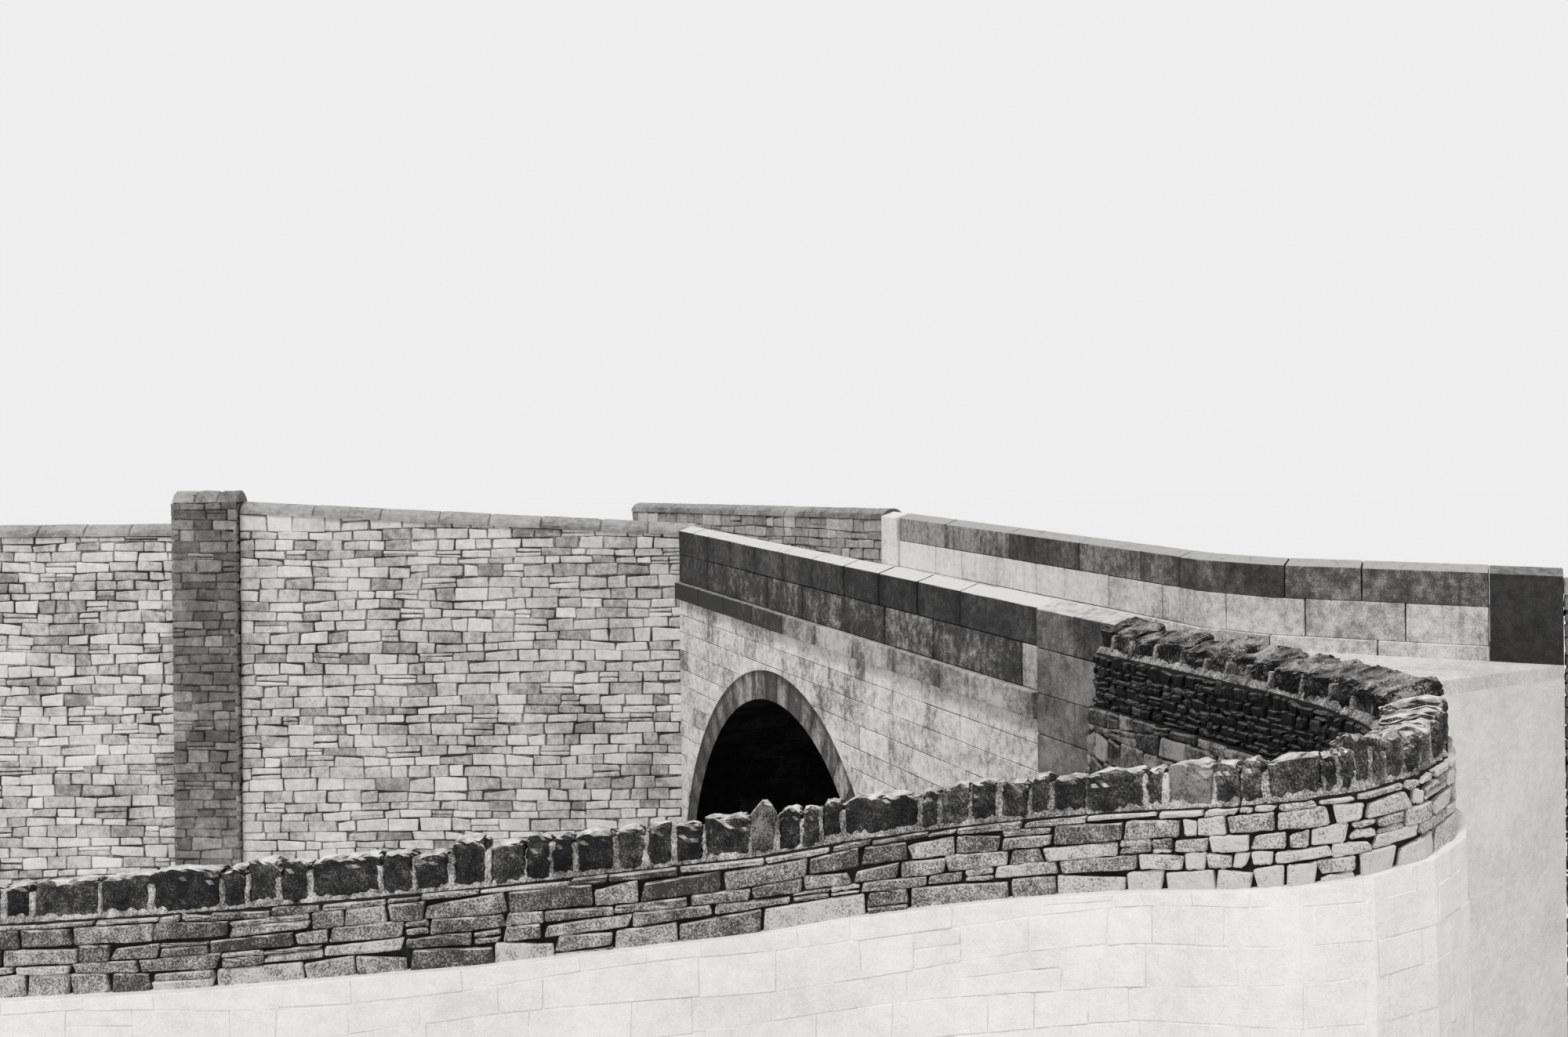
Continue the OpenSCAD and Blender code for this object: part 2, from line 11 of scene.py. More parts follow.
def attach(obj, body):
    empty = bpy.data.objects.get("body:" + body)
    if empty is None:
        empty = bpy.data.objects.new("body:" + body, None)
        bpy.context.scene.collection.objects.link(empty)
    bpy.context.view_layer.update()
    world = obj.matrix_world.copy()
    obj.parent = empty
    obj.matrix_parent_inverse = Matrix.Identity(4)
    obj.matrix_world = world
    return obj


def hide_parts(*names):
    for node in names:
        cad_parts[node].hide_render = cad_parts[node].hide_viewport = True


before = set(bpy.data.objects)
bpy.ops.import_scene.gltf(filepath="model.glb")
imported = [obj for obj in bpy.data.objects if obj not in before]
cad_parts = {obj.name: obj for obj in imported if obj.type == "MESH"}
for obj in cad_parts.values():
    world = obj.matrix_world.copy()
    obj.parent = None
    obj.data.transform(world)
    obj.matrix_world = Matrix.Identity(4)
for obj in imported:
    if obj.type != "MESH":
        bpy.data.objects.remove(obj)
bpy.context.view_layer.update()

# Sizes of the stonework in metres, as the CAD has them. X runs along the road
# from the arch's centre, Y across it from the near face, Z up from the bed.
ARCH_R, RING, RING_BED, SPRING = 3.96, 0.45, 0.46, 0.61
EXTRA_R = ARCH_R + RING
ABUTMENT = 1.2
VOUSSOIRS = 27
GRADE = 0.036
PARAPET = 0.46
STRING_LOW, STRING_TOP, COURSE_TOP, PARAPET_TOP = 5.67, 5.96, 6.44, 6.94
FAR_RISE = 0.14
FAR_STRING_LOW, FAR_STRING_TOP, FAR_COURSE_TOP, FAR_TOP = (
    z + FAR_RISE for z in (STRING_LOW, STRING_TOP, COURSE_TOP, PARAPET_TOP))
ROAD, KERB_H, KERB_W = 5.92, 0.07, 0.18
NEAR_LEFT, NEAR_PARAPET, PILASTER, NEAR_RIGHT = -4.5, -2.95, 8.15, 9.7
FAR_IN, FAR_OUT, FAR_LEFT, FLARE = 4.25, 4.71, -5.2, 4.48
STRING_OUT, LEDGE, PILASTER_OUT, PIER_OUT = 0.09, 0.06, 0.04, 0.05
FLARE_R, FLARE_TURN, FLARE_RUN, PIER_LEN = 2.5, 46.0, 2.1, 0.83
RIVER_TURN, RIVER_T, RIVER_LEN, RIVER_RISE = -111.0, 0.55, 7.7, 0.5
BREAK_LEN, BREAK_OUT, BREAK_RISE = 1.15, 0.12, 0.2
RIVER_FAR_LEN, RIVER_FAR_DROP = 3.4, 0.38
APPROACH_TURN, APPROACH_T, APPROACH_LEN, RIGHT_APPROACH_LEN = 12.0, 0.42, 10.0, 2.6
ROUND_H, OVERHANG = 0.21, 0.03
LANE_H, LANE_T, COPE_H, COPE_W = 0.815, 0.52, 0.30, 0.44
FOOTING, BATTER = 0.06, 0.025
# How the tops of the walls beside it step down or up from the parapet's
CREST_STEP, RIGHT_STEP, APPROACH_STEP = 0.045, 0.10, 0.06
# The frame's origin in these coordinates
DATUM = np.array([ARCH_R + ABUTMENT / 2, FAR_OUT / 2, 0.0])
# How far the dressed copings' tops fall to their faces
FALL = 0.08
# How far the dark body behind open joints lies below a coping's ridge, inside the
# ends of dressed blocks, and behind the faces of walls
CORE_DROP, INSET, JOINT_DEPTH = 0.13, 0.02, 0.03
# A stone cut shorter than this is left out
SLIVER = 0.03
# Half the bed joint between the courses of a pier, and the gap round cut stones
BED_JOINT, CLEAR = 0.003, 0.004
# Lengths closer than this are the same
SAME = 1e-6


def heading(angle):
    return np.array([math.cos(math.radians(angle)), math.sin(math.radians(angle))])


def left_of(angle):
    return heading(angle + 90)


def bend(start, angle, length, turn, count):
    points = []
    for i in range(count):
        start = start + length / count * heading(angle + turn * (i + 0.5) / count)
        points.append(start)
    return points


def between(*cuts):
    """The stretches that lie between joints."""
    return list(zip(cuts[:-1], cuts[1:]))


def laid(s_from, s_to, step, least):
    """Stretches end to end; step(s) is each one's length, and the last takes up a rest that
    is shorter than least."""
    s = s_from
    while s < s_to - SAME:
        end = s + step(s)
        if end > s_to - least:
            end = s_to
        yield s, end
        s = end


def in_frame(points):
    return np.array(points, float) - DATUM


def flat(value):
    return lambda z: np.full(np.shape(z), value)


def steady(value):
    return lambda s: value


def random_for(name):
    return np.random.default_rng(sum(ord(ch) * (i + 1) for i, ch in enumerate(name)))


class Path:
    """A wall's line in plan: at() gives the place a distance along it and an offset
    to its left."""

    def __init__(self, points, first=0.0):
        self.p = np.array(points, float)
        legs = np.diff(self.p, axis=0)
        length = np.linalg.norm(legs, axis=1)
        self.s = first + np.concatenate([[0], np.cumsum(length)])
        n = np.column_stack([-legs[:, 1], legs[:, 0]]) / length[:, None]
        inner = (n[:-1] + n[1:]) / (1 + np.sum(n[:-1] * n[1:], axis=1))[:, None]
        self.m = np.vstack([n[:1], inner, n[-1:]])
        self.length = self.s[-1] - self.s[0]

    def at(self, s, off):
        s = np.asarray(s, float)
        i = np.clip(np.searchsorted(self.s, s, side="right") - 1, 0, len(self.p) - 2)
        t = ((s - self.s[i]) / (self.s[i + 1] - self.s[i]))[:, None]
        base = self.p[i] * (1 - t) + self.p[i + 1] * t
        return base + (self.m[i] * (1 - t) + self.m[i + 1] * t) * np.asarray(off, float)[:, None]


def placer(path, level, offset=flat(0.0), side=1):
    """Turns stone coordinates (along, up, out of the face) into places in the frame.
    level(s, xy, b) is the height, offset(z) how far the face lies from the path."""

    def place(p):
        s, b, c = np.asarray(p, float).T
        xy = path.at(s, np.zeros(len(s)))
        z = level(s, xy, b)
        xy = path.at(s, side * (offset(z) + c))
        return np.column_stack([xy, level(s, xy, b)]) - DATUM

    return place


def beside(place, limit):
    """Keeps stones on the left of a plane across X; None where a stone is wholly past it."""

    def clipped(p):
        made = place(p)
        x = limit - DATUM[0]
        if made[:, 0].min() > x - SLIVER:
            return None
        made[:, 0] = np.minimum(made[:, 0], x)
        return made

    return clipped


def raked(s, xy, b):
    return b - GRADE * xy[:, 0]


def level_height(s, xy, b):
    return b


def add_object(name, data):
    made = bpy.data.objects.new(name, data)
    bpy.context.scene.collection.objects.link(made)
    return made


class Masonry:
    """Gathers blocks into one mesh. Each block has a tone; kind is its material's index,
    or a list with one for each face."""

    def __init__(self):
        self.points, self.faces, self.tones, self.worn, self.kinds = [], [], [], [], []
        self.count = 0

    # worn is each block's share of the top grey on faces that look up: wear and painted highlight
    def add(self, points, faces, tone, kind=0, worn=1.0):
        if points is None:
            return
        self.points.append(np.asarray(points, float))
        self.faces += [[i + self.count for i in f] for f in faces]
        self.tones.append(np.full(len(points), tone))
        self.worn.append(np.full(len(points), worn))
        self.kinds += kind if isinstance(kind, list) else [kind] * len(faces)
        self.count += len(points)

    def loft(self, rings, kind=1, tone=0.5):
        """A closed solid through rings of equally many points."""
        n = len(rings[0])
        faces = [
            [a * n + i, a * n + (i + 1) % n, (a + 1) * n + (i + 1) % n, (a + 1) * n + i]
            for a in range(len(rings) - 1)
            for i in range(n)
        ]
        faces += [list(range(n)), list(range((len(rings) - 1) * n, len(rings) * n))]
        self.add(np.vstack(rings), faces, tone, kind)

    def piece(self, node, slot, materials):
        """Makes the mesh the piece that stands for a CAD node."""
        mesh = bpy.data.meshes.new(node + "_stones")
        points = np.vstack(self.points)
        points[:, 2] = np.maximum(points[:, 2], 0.0)
        mesh.from_pydata(points.tolist(), [], self.faces)
        for attribute, values in (("tone", self.tones), ("worn", self.worn)):
            mesh.attributes.new(attribute, "FLOAT", "POINT").data.foreach_set(
                "value", np.concatenate(values).astype(np.float32)
            )
        for m in materials:
            mesh.materials.append(m)
        mesh.polygons.foreach_set("material_index", self.kinds)
        bm = bmesh.new()
        bm.from_mesh(mesh)
        bmesh.ops.recalc_face_normals(bm, faces=bm.faces)
        bm.to_mesh(mesh)
        bm.free()
        mesh.polygons.foreach_set("use_smooth", [False] * len(mesh.polygons))
        made = add_object(node + "_stones", mesh)
        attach(made, "root")
        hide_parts(node)


def knots(cells, edge):
    """Places from 0 to 1 with a narrow cell at each end."""
    edge = min(edge, 0.3)
    return np.concatenate([[0], np.linspace(edge, 1 - edge, cells + 1), [1]])


@functools.lru_cache(maxsize=None)
def grid_faces(na, nb):
    """Quads of a grid of na by nb points, and the points along each of its four edges,
    in order round it."""
    grid = np.arange(na * nb).reshape(na, nb)
    corners = grid[:-1, :-1], grid[1:, :-1], grid[1:, 1:], grid[:-1, 1:]
    quads = list(zip(*(c.ravel().tolist() for c in corners)))
    edges = [e.tolist() for e in (grid[:, 0], grid[-1], grid[::-1, -1], grid[0, ::-1])]
    return quads, edges


def lumps(rng, a, b, size):
    """A smooth uneven field over a stone, about -1 to 1, with features of about a size."""
    total = 0
    for scale in (1.0, 0.6, 0.37):
        angle, phase = rng.uniform(0, math.pi), rng.uniform(0, 2 * math.pi)
        along = a * math.cos(angle) + b * math.sin(angle)
        period = size * scale * rng.uniform(0.8, 1.4)
        total = total + scale * np.sin(2 * math.pi * along / period + phase)
    return total / 1.97


def facets(rng, a, b, width, height, slope):
    """How far a split face falls back: broken planes round a point left proud."""
    peak_a, peak_b = rng.uniform(0.25, 0.75) * width, rng.uniform(0.35, 0.8) * height
    start = rng.uniform(0, 2 * math.pi)
    fall = np.zeros(np.shape(a))
    for k in range(5):
        angle = start + (k + rng.uniform(-0.3, 0.3)) * 2 * math.pi / 5
        out = (a - peak_a) * math.cos(angle) + (b - peak_b) * math.sin(angle)
        fall = np.maximum(fall, out * slope * rng.uniform(0.3, 1.2))
    return fall


def face_stone(rng, a0, a1, low, high, bevel, rough, skew, back=0.06, columns=3, rows=2,
               slant=0.0, wedge=0.0):
    """A stone in a wall's face: a closed block with an uneven outline and rounded edges.
    low and high are its bed's and top's heights at both ends; its face lies about at 0
    and its back at -back. slant leans its ends inwards, wedge lowers one end of its top."""
    if wedge and rng.uniform() < 0.5:
        cut = rng.uniform(0.1, wedge) * (high[0] - low[0])
        high = (high[0] - cut, high[1]) if rng.uniform() < 0.5 else (high[0], high[1] - cut)
    tall = high[0] - low[0]
    ta, tb = knots(columns, bevel / max(a1 - a0, 0.02)), knots(rows, bevel / max(tall, 0.02))
    u, v = np.meshgrid(ta, tb, indexing="ij")
    lo = low[0] + (low[1] - low[0]) * u
    hi = high[0] + (high[1] - high[0]) * u
    corner = rng.uniform(-skew, skew, (2, 2, 2))
    mix = [(1 - u) * (1 - v), (1 - u) * v, u * (1 - v), u * v]
    shift = sum(m[..., None] * corner[k // 2, k % 2] for k, m in enumerate(mix))
    a = a0 + u * (a1 - a0) + shift[..., 0]
    if slant:
        for end, way in ((u, -1), (1 - u, 1)):
            lean = rng.uniform(-1, 1) * slant * min(tall, 0.4 * (a1 - a0), 0.1)
            share = lean * v if lean > 0 else -lean * (1 - v)
            a = a + way * np.clip(end * 4 - 3, 0, 1) * share
    b = lo + v * (hi - lo) + shift[..., 1] * 0.6
    ends, beds = (u == 0) | (u == 1), (v == 0) | (v == 1)
    edge, tip = ends | beds, ends & beds
    b += np.where(edge & ~tip, rng.normal(0, skew * 0.25, u.shape), 0)
    a += np.where(tip, np.where(u == 0, 1, -1) * bevel * 0.5, 0)
    b += np.where(tip, np.where(v == 0, 1, -1) * bevel * 0.5, 0)
    lean = rng.normal(0, rough * 0.7, 2)
    c = rng.normal(0, rough * 0.35, u.shape) + lean[0] * (u - 0.5) + lean[1] * (v - 0.5)
    c = c - abs(rng.normal(0, rough))
    c = c + lumps(rng, a, b, 0.22) * rough * 0.6
    c = np.clip(c, -JOINT_DEPTH * 0.5, 0)
    c = np.where(edge, c - bevel * rng.uniform(0.7, 1.2, u.shape), c)
    front = np.column_stack([a.ravel(), b.ravel(), c.ravel()])
    quads, edges = grid_faces(len(ta), len(tb))
    behind = front[[along[0] for along in edges]]
    behind[:, 2] = -back
    n = len(front)
    sides = [(*along, n + (k + 1) % 4, n + k) for k, along in enumerate(edges)]
    return np.vstack([front, behind]), quads + sides + [tuple(range(n, n + 4))]


@functools.lru_cache(maxsize=None)
def box_lattice(*size):
    """Points on the surface of a lattice of so many cells each way, and its quads."""
    index, quads = {}, []
    for axis in range(3):
        p, q = [k for k in range(3) if k != axis]
        for end in (0, size[axis]):
            for i, j in np.ndindex(size[p], size[q]):
                quad = []
                for di, dj in ((0, 0), (1, 0), (1, 1), (0, 1)):
                    key = [0, 0, 0]
                    key[axis], key[p], key[q] = end, i + di, j + dj
                    quad.append(index.setdefault(tuple(key), len(index)))
                quads.append(tuple(quad))
    return np.array(list(index), int), quads


def block(rng, low, high, cells, radius, rough=0.0, skew=0.0):
    """A block with rounded edges between two corners. rough moves each point, skew each
    corner."""
    low, high = np.array(low, float), np.array(high, float)
    size = high - low
    lattice, quads = box_lattice(*cells)
    t = np.column_stack(
        [knots(cells[k] - 2, radius / size[k])[lattice[:, k]] for k in range(3)])
    p = t * size
    inner = np.clip(p, radius, size - radius)
    d = p - inner
    length = np.linalg.norm(d, axis=1, keepdims=True)
    p = np.where(length > 1e-9, inner + d / np.maximum(length, 1e-9) * radius, p)
    if skew:
        corner = rng.uniform(-skew, skew, (2, 2, 2, 3))
        for i, j, k in np.ndindex(2, 2, 2):
            w = np.abs(1 - i - t[:, 0]) * np.abs(1 - j - t[:, 1]) * np.abs(1 - k - t[:, 2])
            p = p + w[:, None] * corner[i, j, k]
    if rough:
        worn = np.abs(rng.normal(0, rough, p.shape)) * (np.abs(t - 0.5) > 0.49)
        p = p - np.sign(t - 0.5) * worn
        p = p + rng.normal(0, rough * 0.4, p.shape)
    return low + p, quads


def tone_of(rng, spread=0.25):
    return float(np.clip(rng.normal(0.5, spread), 0, 1))


def wave(rng, amount):
    """A slow wander along a course's bed."""
    k = rng.uniform(0.7, 2.6, 3)
    phase = rng.uniform(0, 6.28, 3)
    size = rng.uniform(0.3, 1, 3)
    size *= amount / size.sum()
    return lambda s: float(np.sum(size * np.sin(k * s + phase)))


def course_face(out, rng, place, s_from, s_to, beds, length, joint, keep=None, split=0.0,
                wander=0.0, tone=0.22, kind=0, bias=None, first_length=None, shorter=None,
                **shape):
    """Fills a face with courses of stones. out gathers them, or says for a stone what does.
    beds are the heights of the joints from below; bias gives how much lighter the stones
    are at a distance and height, shorter by what their length is multiplied at a distance,
    keep a stone cut to the wall's outline."""
    waves = [wave(rng, wander) for _ in beds]
    waves[0] = waves[-1] = lambda s: 0.0
    for row in range(len(beds) - 1):
        low = lambda s, r=row: beds[r] + waves[r](s)
        high = lambda s, r=row: beds[r + 1] + waves[r + 1](s)
        span = first_length if first_length and row == 0 else length

        def step(s):
            first = rng.uniform(*span) * (rng.uniform(0.35, 0.9) if s == s_from else 1)
            return first * (shorter(s) if shorter else 1)

        for s, end in laid(s_from, s_to, step, length[0] * 0.5):
            a0, a1 = s + joint * rng.uniform(0.2, 0.75), end - joint * rng.uniform(0.2, 0.75)
            parts = [(0.0, 1.0)]
            if split and rng.uniform() < split and high(s) - low(s) > 0.07:
                parts = between(0.0, rng.uniform(0.35, 0.65), 1.0)
            for c0, c1 in parts:
                under_it, over_it = joint * rng.uniform(0.1, 0.5), joint * rng.uniform(0.2, 0.9)
                lo = [low(q) + (high(q) - low(q)) * c0 + under_it for q in (a0, a1)]
                hi = [low(q) + (high(q) - low(q)) * c1 - over_it for q in (a0, a1)]
                if a1 - a0 < SLIVER or hi[0] - lo[0] < 0.015:
                    continue
                own = tone_of(rng, tone) + (bias(a0, lo[0]) if bias else 0.0)
                pts, faces = face_stone(rng, a0, a1, lo, hi, **shape)
                pts[:, 0] = np.clip(pts[:, 0], s_from, s_to)
                if keep is not None:
                    pts = keep(pts)
                if pts is not None:
                    home = out(pts) if callable(out) else out
                    home.add(place(pts), faces, own, kind)


def cut_stone(pts, low=None, high=None, least=0.02):
    """A stone cut to a wall's foot or top; None where too thin a strip is left of it."""
    pts = pts.copy()
    pts[:, 1] = np.clip(pts[:, 1], low, high)
    return pts if np.ptp(pts[:, 1]) > least else None


def under(limit):
    """Cuts stones to a sloping top; limit(s) is its height."""

    def keep(pts):
        top = np.array([limit(s) for s in pts[:, 0]])
        if pts[:, 1].min() > top.max() - SLIVER:
            return None
        return cut_stone(pts, high=top, least=0.015)

    return keep


def stations(path, s_from, s_to, extra=()):
    inside = [s for s in path.s if s_from + SAME < s < s_to - SAME]
    return sorted({s_from, s_to, *inside, *[e for e in extra if s_from < e < s_to]})


def core(out, path, s_from, s_to, bottom, top, half, inset, kind=1, extra=(),
         middle=flat(0.0), inset_end=0.0):
    """The closed body behind a wall's stones, with faces a joint's depth behind theirs."""
    rings = []
    for s in stations(path, s_from + inset_end, s_to - inset_end, extra):
        lo, hi = bottom(s), top(s)
        ring = []
        for z, side in ((lo, -1), (lo, 1), (hi, 1), (hi, -1)):
            off = middle(z) + side * (half(z) - inset)
            ring.append([*path.at([s], [off])[0], z])
        rings.append(in_frame(ring))
    out.loft(rings, kind)


def beds_up(rng, low, high, course, spread=0.25):
    """Heights of a wall's bed joints from its foot to its top."""
    beds = [low]
    while beds[-1] < high - course * 0.6:
        beds.append(beds[-1] + course * rng.uniform(1 - spread, 1 + spread))
    if len(beds) > 2:
        beds.pop()
    return [*beds, high]


# Materials
class Nodes:
    """The node tree of a material or a world, emptied and built up again."""

    def __init__(self, owner):
        owner.use_nodes = True
        self.tree = owner.node_tree
        self.tree.nodes.clear()

    def add(self, kind, inputs=(), **settings):
        """A node whose inputs have values or are linked to the outputs of other nodes."""
        made = self.tree.nodes.new(kind)
        for key, value in settings.items():
            setattr(made, key, value)
        for key, value in dict(inputs).items():
            if isinstance(value, bpy.types.NodeSocket):
                self.tree.links.new(value, made.inputs[key])
            else:
                made.inputs[key].default_value = value
        return made.outputs

    def calc(self, operation, a, b, clamp=False):
        return self.add("ShaderNodeMath", {0: a, 1: b}, operation=operation, use_clamp=clamp)[0]


def tinted(grey):
    return (grey, grey * 0.985, grey * 0.955, 1)


def stone_material(name, greys, patch, streak, grain, stone, bump, mottle=0.8, patch_scale=1.3,
                   top=None, top_wear_and_highlight_amount=0.8, top_patch=0.2, specular=0.25):
    """Weathered stone between a dark, a middle and a light grey. patch, streak, grain, stone
    and mottle say how much broad patches, runs of damp, grain, the difference from stone to
    stone and blotches move it; top is the grey of faces that look up, both wear and a painted
    highlight that lightens them as if lit from above."""
    material = bpy.data.materials.new(name)
    nodes = Nodes(material)
    add, calc = nodes.add, nodes.calc
    place = add("ShaderNodeTexCoord")["Object"]

    def noise(scale, detail, roughness=0.55, vector=place):
        return add("ShaderNodeTexNoise", {"Scale": scale, "Detail": detail,
                                          "Roughness": roughness, "Vector": vector})["Fac"]

    broad, middle, fine = noise(patch_scale, 4), noise(9, 5, 0.65), noise(75, 3, 0.7)
    upright = add("ShaderNodeMapping", {"Scale": (9.0, 9.0, 0.8), "Vector": place})[0]
    runs = noise(1.0, 5, 0.65, upright)
    damp = calc("MULTIPLY", calc("SUBTRACT", noise(0.9, 2), 0.38), 3.5, clamp=True)
    runs = calc("ADD", calc("MULTIPLY", calc("SUBTRACT", runs, 0.5), damp), 0.5)
    own = add("ShaderNodeAttribute", attribute_name="tone")["Fac"]

    total = 0.5
    for source, amount in ((broad, patch * 1.6), (middle, mottle), (fine, grain * 2.2),
                           (runs, -streak * 2.2), (own, stone)):
        total = calc("ADD", calc("MULTIPLY", calc("SUBTRACT", source, 0.5), amount), total)
    ramp = nodes.tree.nodes.new("ShaderNodeValToRGB")
    nodes.tree.links.new(total, ramp.inputs[0])
    stops = ramp.color_ramp.elements
    dark, mid, light = greys
    for stop, position, grey in ((stops[0], 0.15, dark), (stops[1], 0.85, light)):
        stop.position, stop.color = position, tinted(grey)
    stops.new(0.5).color = tinted(mid)
    colour = ramp.outputs[0]
    if top is not None:
        # Faces that look up take the top grey: wear, and a painted highlight for the light
        # falling on tops
        normal = add("ShaderNodeNewGeometry")["Normal"]
        upward = add("ShaderNodeSeparateXYZ", {0: normal})["Z"]
        facing = add("ShaderNodeMapRange", {"From Min": 0.42, "From Max": 0.8, "Value": upward},
                     interpolation_type="SMOOTHSTEP")[0]
        worn = calc("MULTIPLY", calc("SUBTRACT", middle, top_patch), 2.4, clamp=True)
        worn = calc("MULTIPLY", worn, add("ShaderNodeAttribute", attribute_name="worn")["Fac"])
        amount = calc("MULTIPLY", calc("MULTIPLY", facing, worn), top_wear_and_highlight_amount)
        colour = add("ShaderNodeMix", {"Factor": amount, "A": colour, "B": tinted(top)},
                     data_type="RGBA")["Result"]
    height = calc("ADD", middle, calc("MULTIPLY", fine, 0.35))
    relief = add("ShaderNodeBump", {"Strength": bump, "Distance": 0.02, "Height": height})[0]
    shader = add("ShaderNodeBsdfPrincipled", {
        "Base Color": colour, "Roughness": 0.92, "Specular IOR Level": specular,
        "Normal": relief})[0]
    add("ShaderNodeOutputMaterial", {0: shader})
    return material


# top in these gives faces that look up a lighter grey: wear, and painted highlight
# Each one's name, greys, patch, streak, grain, stone and bump, and then what differs from
# the usual mottle and patch_scale
SOOTY = stone_material("sooty_gritstone", (0.013, 0.042, 0.13), 0.5, 0.25, 0.55, 0.5, 0.35, 1.0,
                       top=0.68, top_wear_and_highlight_amount=1.0, top_patch=0.0)
SOOTY_LOW = stone_material(
    "sooty_gritstone_lower", (0.02, 0.07, 0.5), 0.6, 0.25, 0.5, 0.5, 0.35, 1.0)
PILASTER_STONE = stone_material("pilaster_gritstone", (0.03, 0.125, 0.3), 0.5, 0.25, 0.55, 0.35,
                                0.4, 1.0, top=0.74, top_wear_and_highlight_amount=1.0, top_patch=0.12)
STRING_STONE = stone_material(
    "string_gritstone", (0.04, 0.15, 0.54), 0.7, 0.3, 0.4, 0.8, 0.35, 1.0, top=0.5)
ASHLAR = stone_material("spandrel_ashlar", (0.14, 0.62, 0.84), 0.7, 0.2, 0.6, 0.35, 0.4, 1.1)
RING_STONE = stone_material("voussoir_gritstone", (0.04, 0.1, 0.42), 0.6, 0.6, 0.45, 0.5, 0.35)
# Near-black: damp stone darkened further with painted shadow for the deep shade under the arch
VAULT_DAMP_AND_SHADOW = stone_material(
    "vault_damp_gritstone_painted_shadow", (0.001, 0.003, 0.010), 0.7, 0.3, 0.3, 0.4, 0.4, specular=0.02)
PALE = stone_material(
    "pale_gritstone", (0.22, 0.64, 0.84), 0.5, 0.5, 0.5, 0.5, 0.3, 0.9, top=0.76)
FAR_COPE = stone_material("streaked_coping", (0.03, 0.1, 0.4), 0.6, 0.5, 0.5, 0.6, 0.35, 1.0,
                          top=0.44, top_wear_and_highlight_amount=1.0, top_patch=0.05)
DARK_PIER = stone_material(
    "dark_pier_gritstone", (0.012, 0.026, 0.06), 0.5, 0.2, 0.4, 0.2, 0.4, top=0.35)
RUBBLE = stone_material("coursed_rubble", (0.22, 0.66, 0.86), 0.5, 0.1, 0.5, 0.55, 0.8)
# A darker copy of the coursed rubble: painted shade for the approach wall's less lit face
SHADED_APPROACH_RUBBLE = stone_material("approach_rubble_painted_shade", (0.14, 0.36, 0.62), 0.5, 0.1, 0.5, 0.5, 0.8)
OLD_RUBBLE = stone_material("older_rubble", (0.08, 0.2, 0.45), 0.6, 0.1, 0.45, 0.6, 0.8)
RUBBLE_JOINT = stone_material("rubble_mortar", (0.02, 0.07, 0.45), 1.1, 0.0, 0.5, 0.1, 0.7)
ASHLAR_JOINT = stone_material("ashlar_mortar", (0.05, 0.12, 0.22), 0.5, 0.0, 0.4, 0.1, 0.4)
SOOT_JOINT = stone_material("sooty_joint", (0.006, 0.014, 0.03), 0.5, 0.0, 0.4, 0.1, 0.4)
LANE = stone_material(
    "drystone_flags", (0.045, 0.25, 0.64), 0.35, 0.0, 1.1, 0.65, 1.0, 1.3, top=0.74)
# Darkest flags: stained stone, darkened further with painted shade on the river side
LANE_STAIN_AND_SHADE = stone_material(
    "stained_drystone_flags_painted_shade", (0.002, 0.008, 0.10), 0.4, 0.1, 0.9, 1.0, 1.0, 1.1, top=0.2)
RIVER_SIDE = stone_material(
    "river_side_rubble", (0.010, 0.075, 0.36), 0.8, 0.1, 0.8, 0.8, 1.0, 1.5, 3.0, top=0.3)
LANE_JOINT = stone_material("open_joint", (0.006, 0.015, 0.04), 0.5, 0.0, 0.5, 0.1, 0.6)
COPE = stone_material("rough_cope", (0.010, 0.052, 0.27), 0.6, 0.1, 0.8, 0.5, 1.0, 1.4,
                      top=0.8, top_wear_and_highlight_amount=1.0)
RETURN_COPE = stone_material("return_cope_stone", (0.008, 0.032, 0.5), 1.0, 0.1, 0.9, 0.8, 1.0,
                             1.6, 3.5, top=0.42, top_wear_and_highlight_amount=0.9, top_patch=0.36)
COPE_MORTAR = stone_material("lime_mortar", (0.07, 0.3, 0.7), 0.6, 0.0, 1.0, 0.3, 1.0, 1.7)
FOOTING_STONE = stone_material("footing_rubble", (0.7, 0.82, 0.9), 0.5, 0.0, 0.5, 0.12, 0.5)
FOOTING_JOINT = stone_material("footing_mortar", (0.72, 0.84, 0.9), 0.5, 0.0, 0.5, 0.05, 0.5)
ROUND_COPE = stone_material(
    "round_coping", (0.1, 0.28, 0.52), 0.7, 0.1, 0.5, 0.4, 0.7, top=0.46)
DIM_COPE = stone_material(
    "approach_coping", (0.06, 0.2, 0.4), 0.7, 0.1, 0.5, 0.4, 0.7, top=0.42)
GRAVEL = stone_material(
    "rolled_gravel", (0.5, 0.78, 0.88), 0.5, 0.0, 0.9, 0.2, 0.9, patch_scale=0.8)
EARTH = stone_material("rubble_fill", (0.68, 0.84, 0.92), 0.5, 0.0, 0.6, 0.1, 0.9)

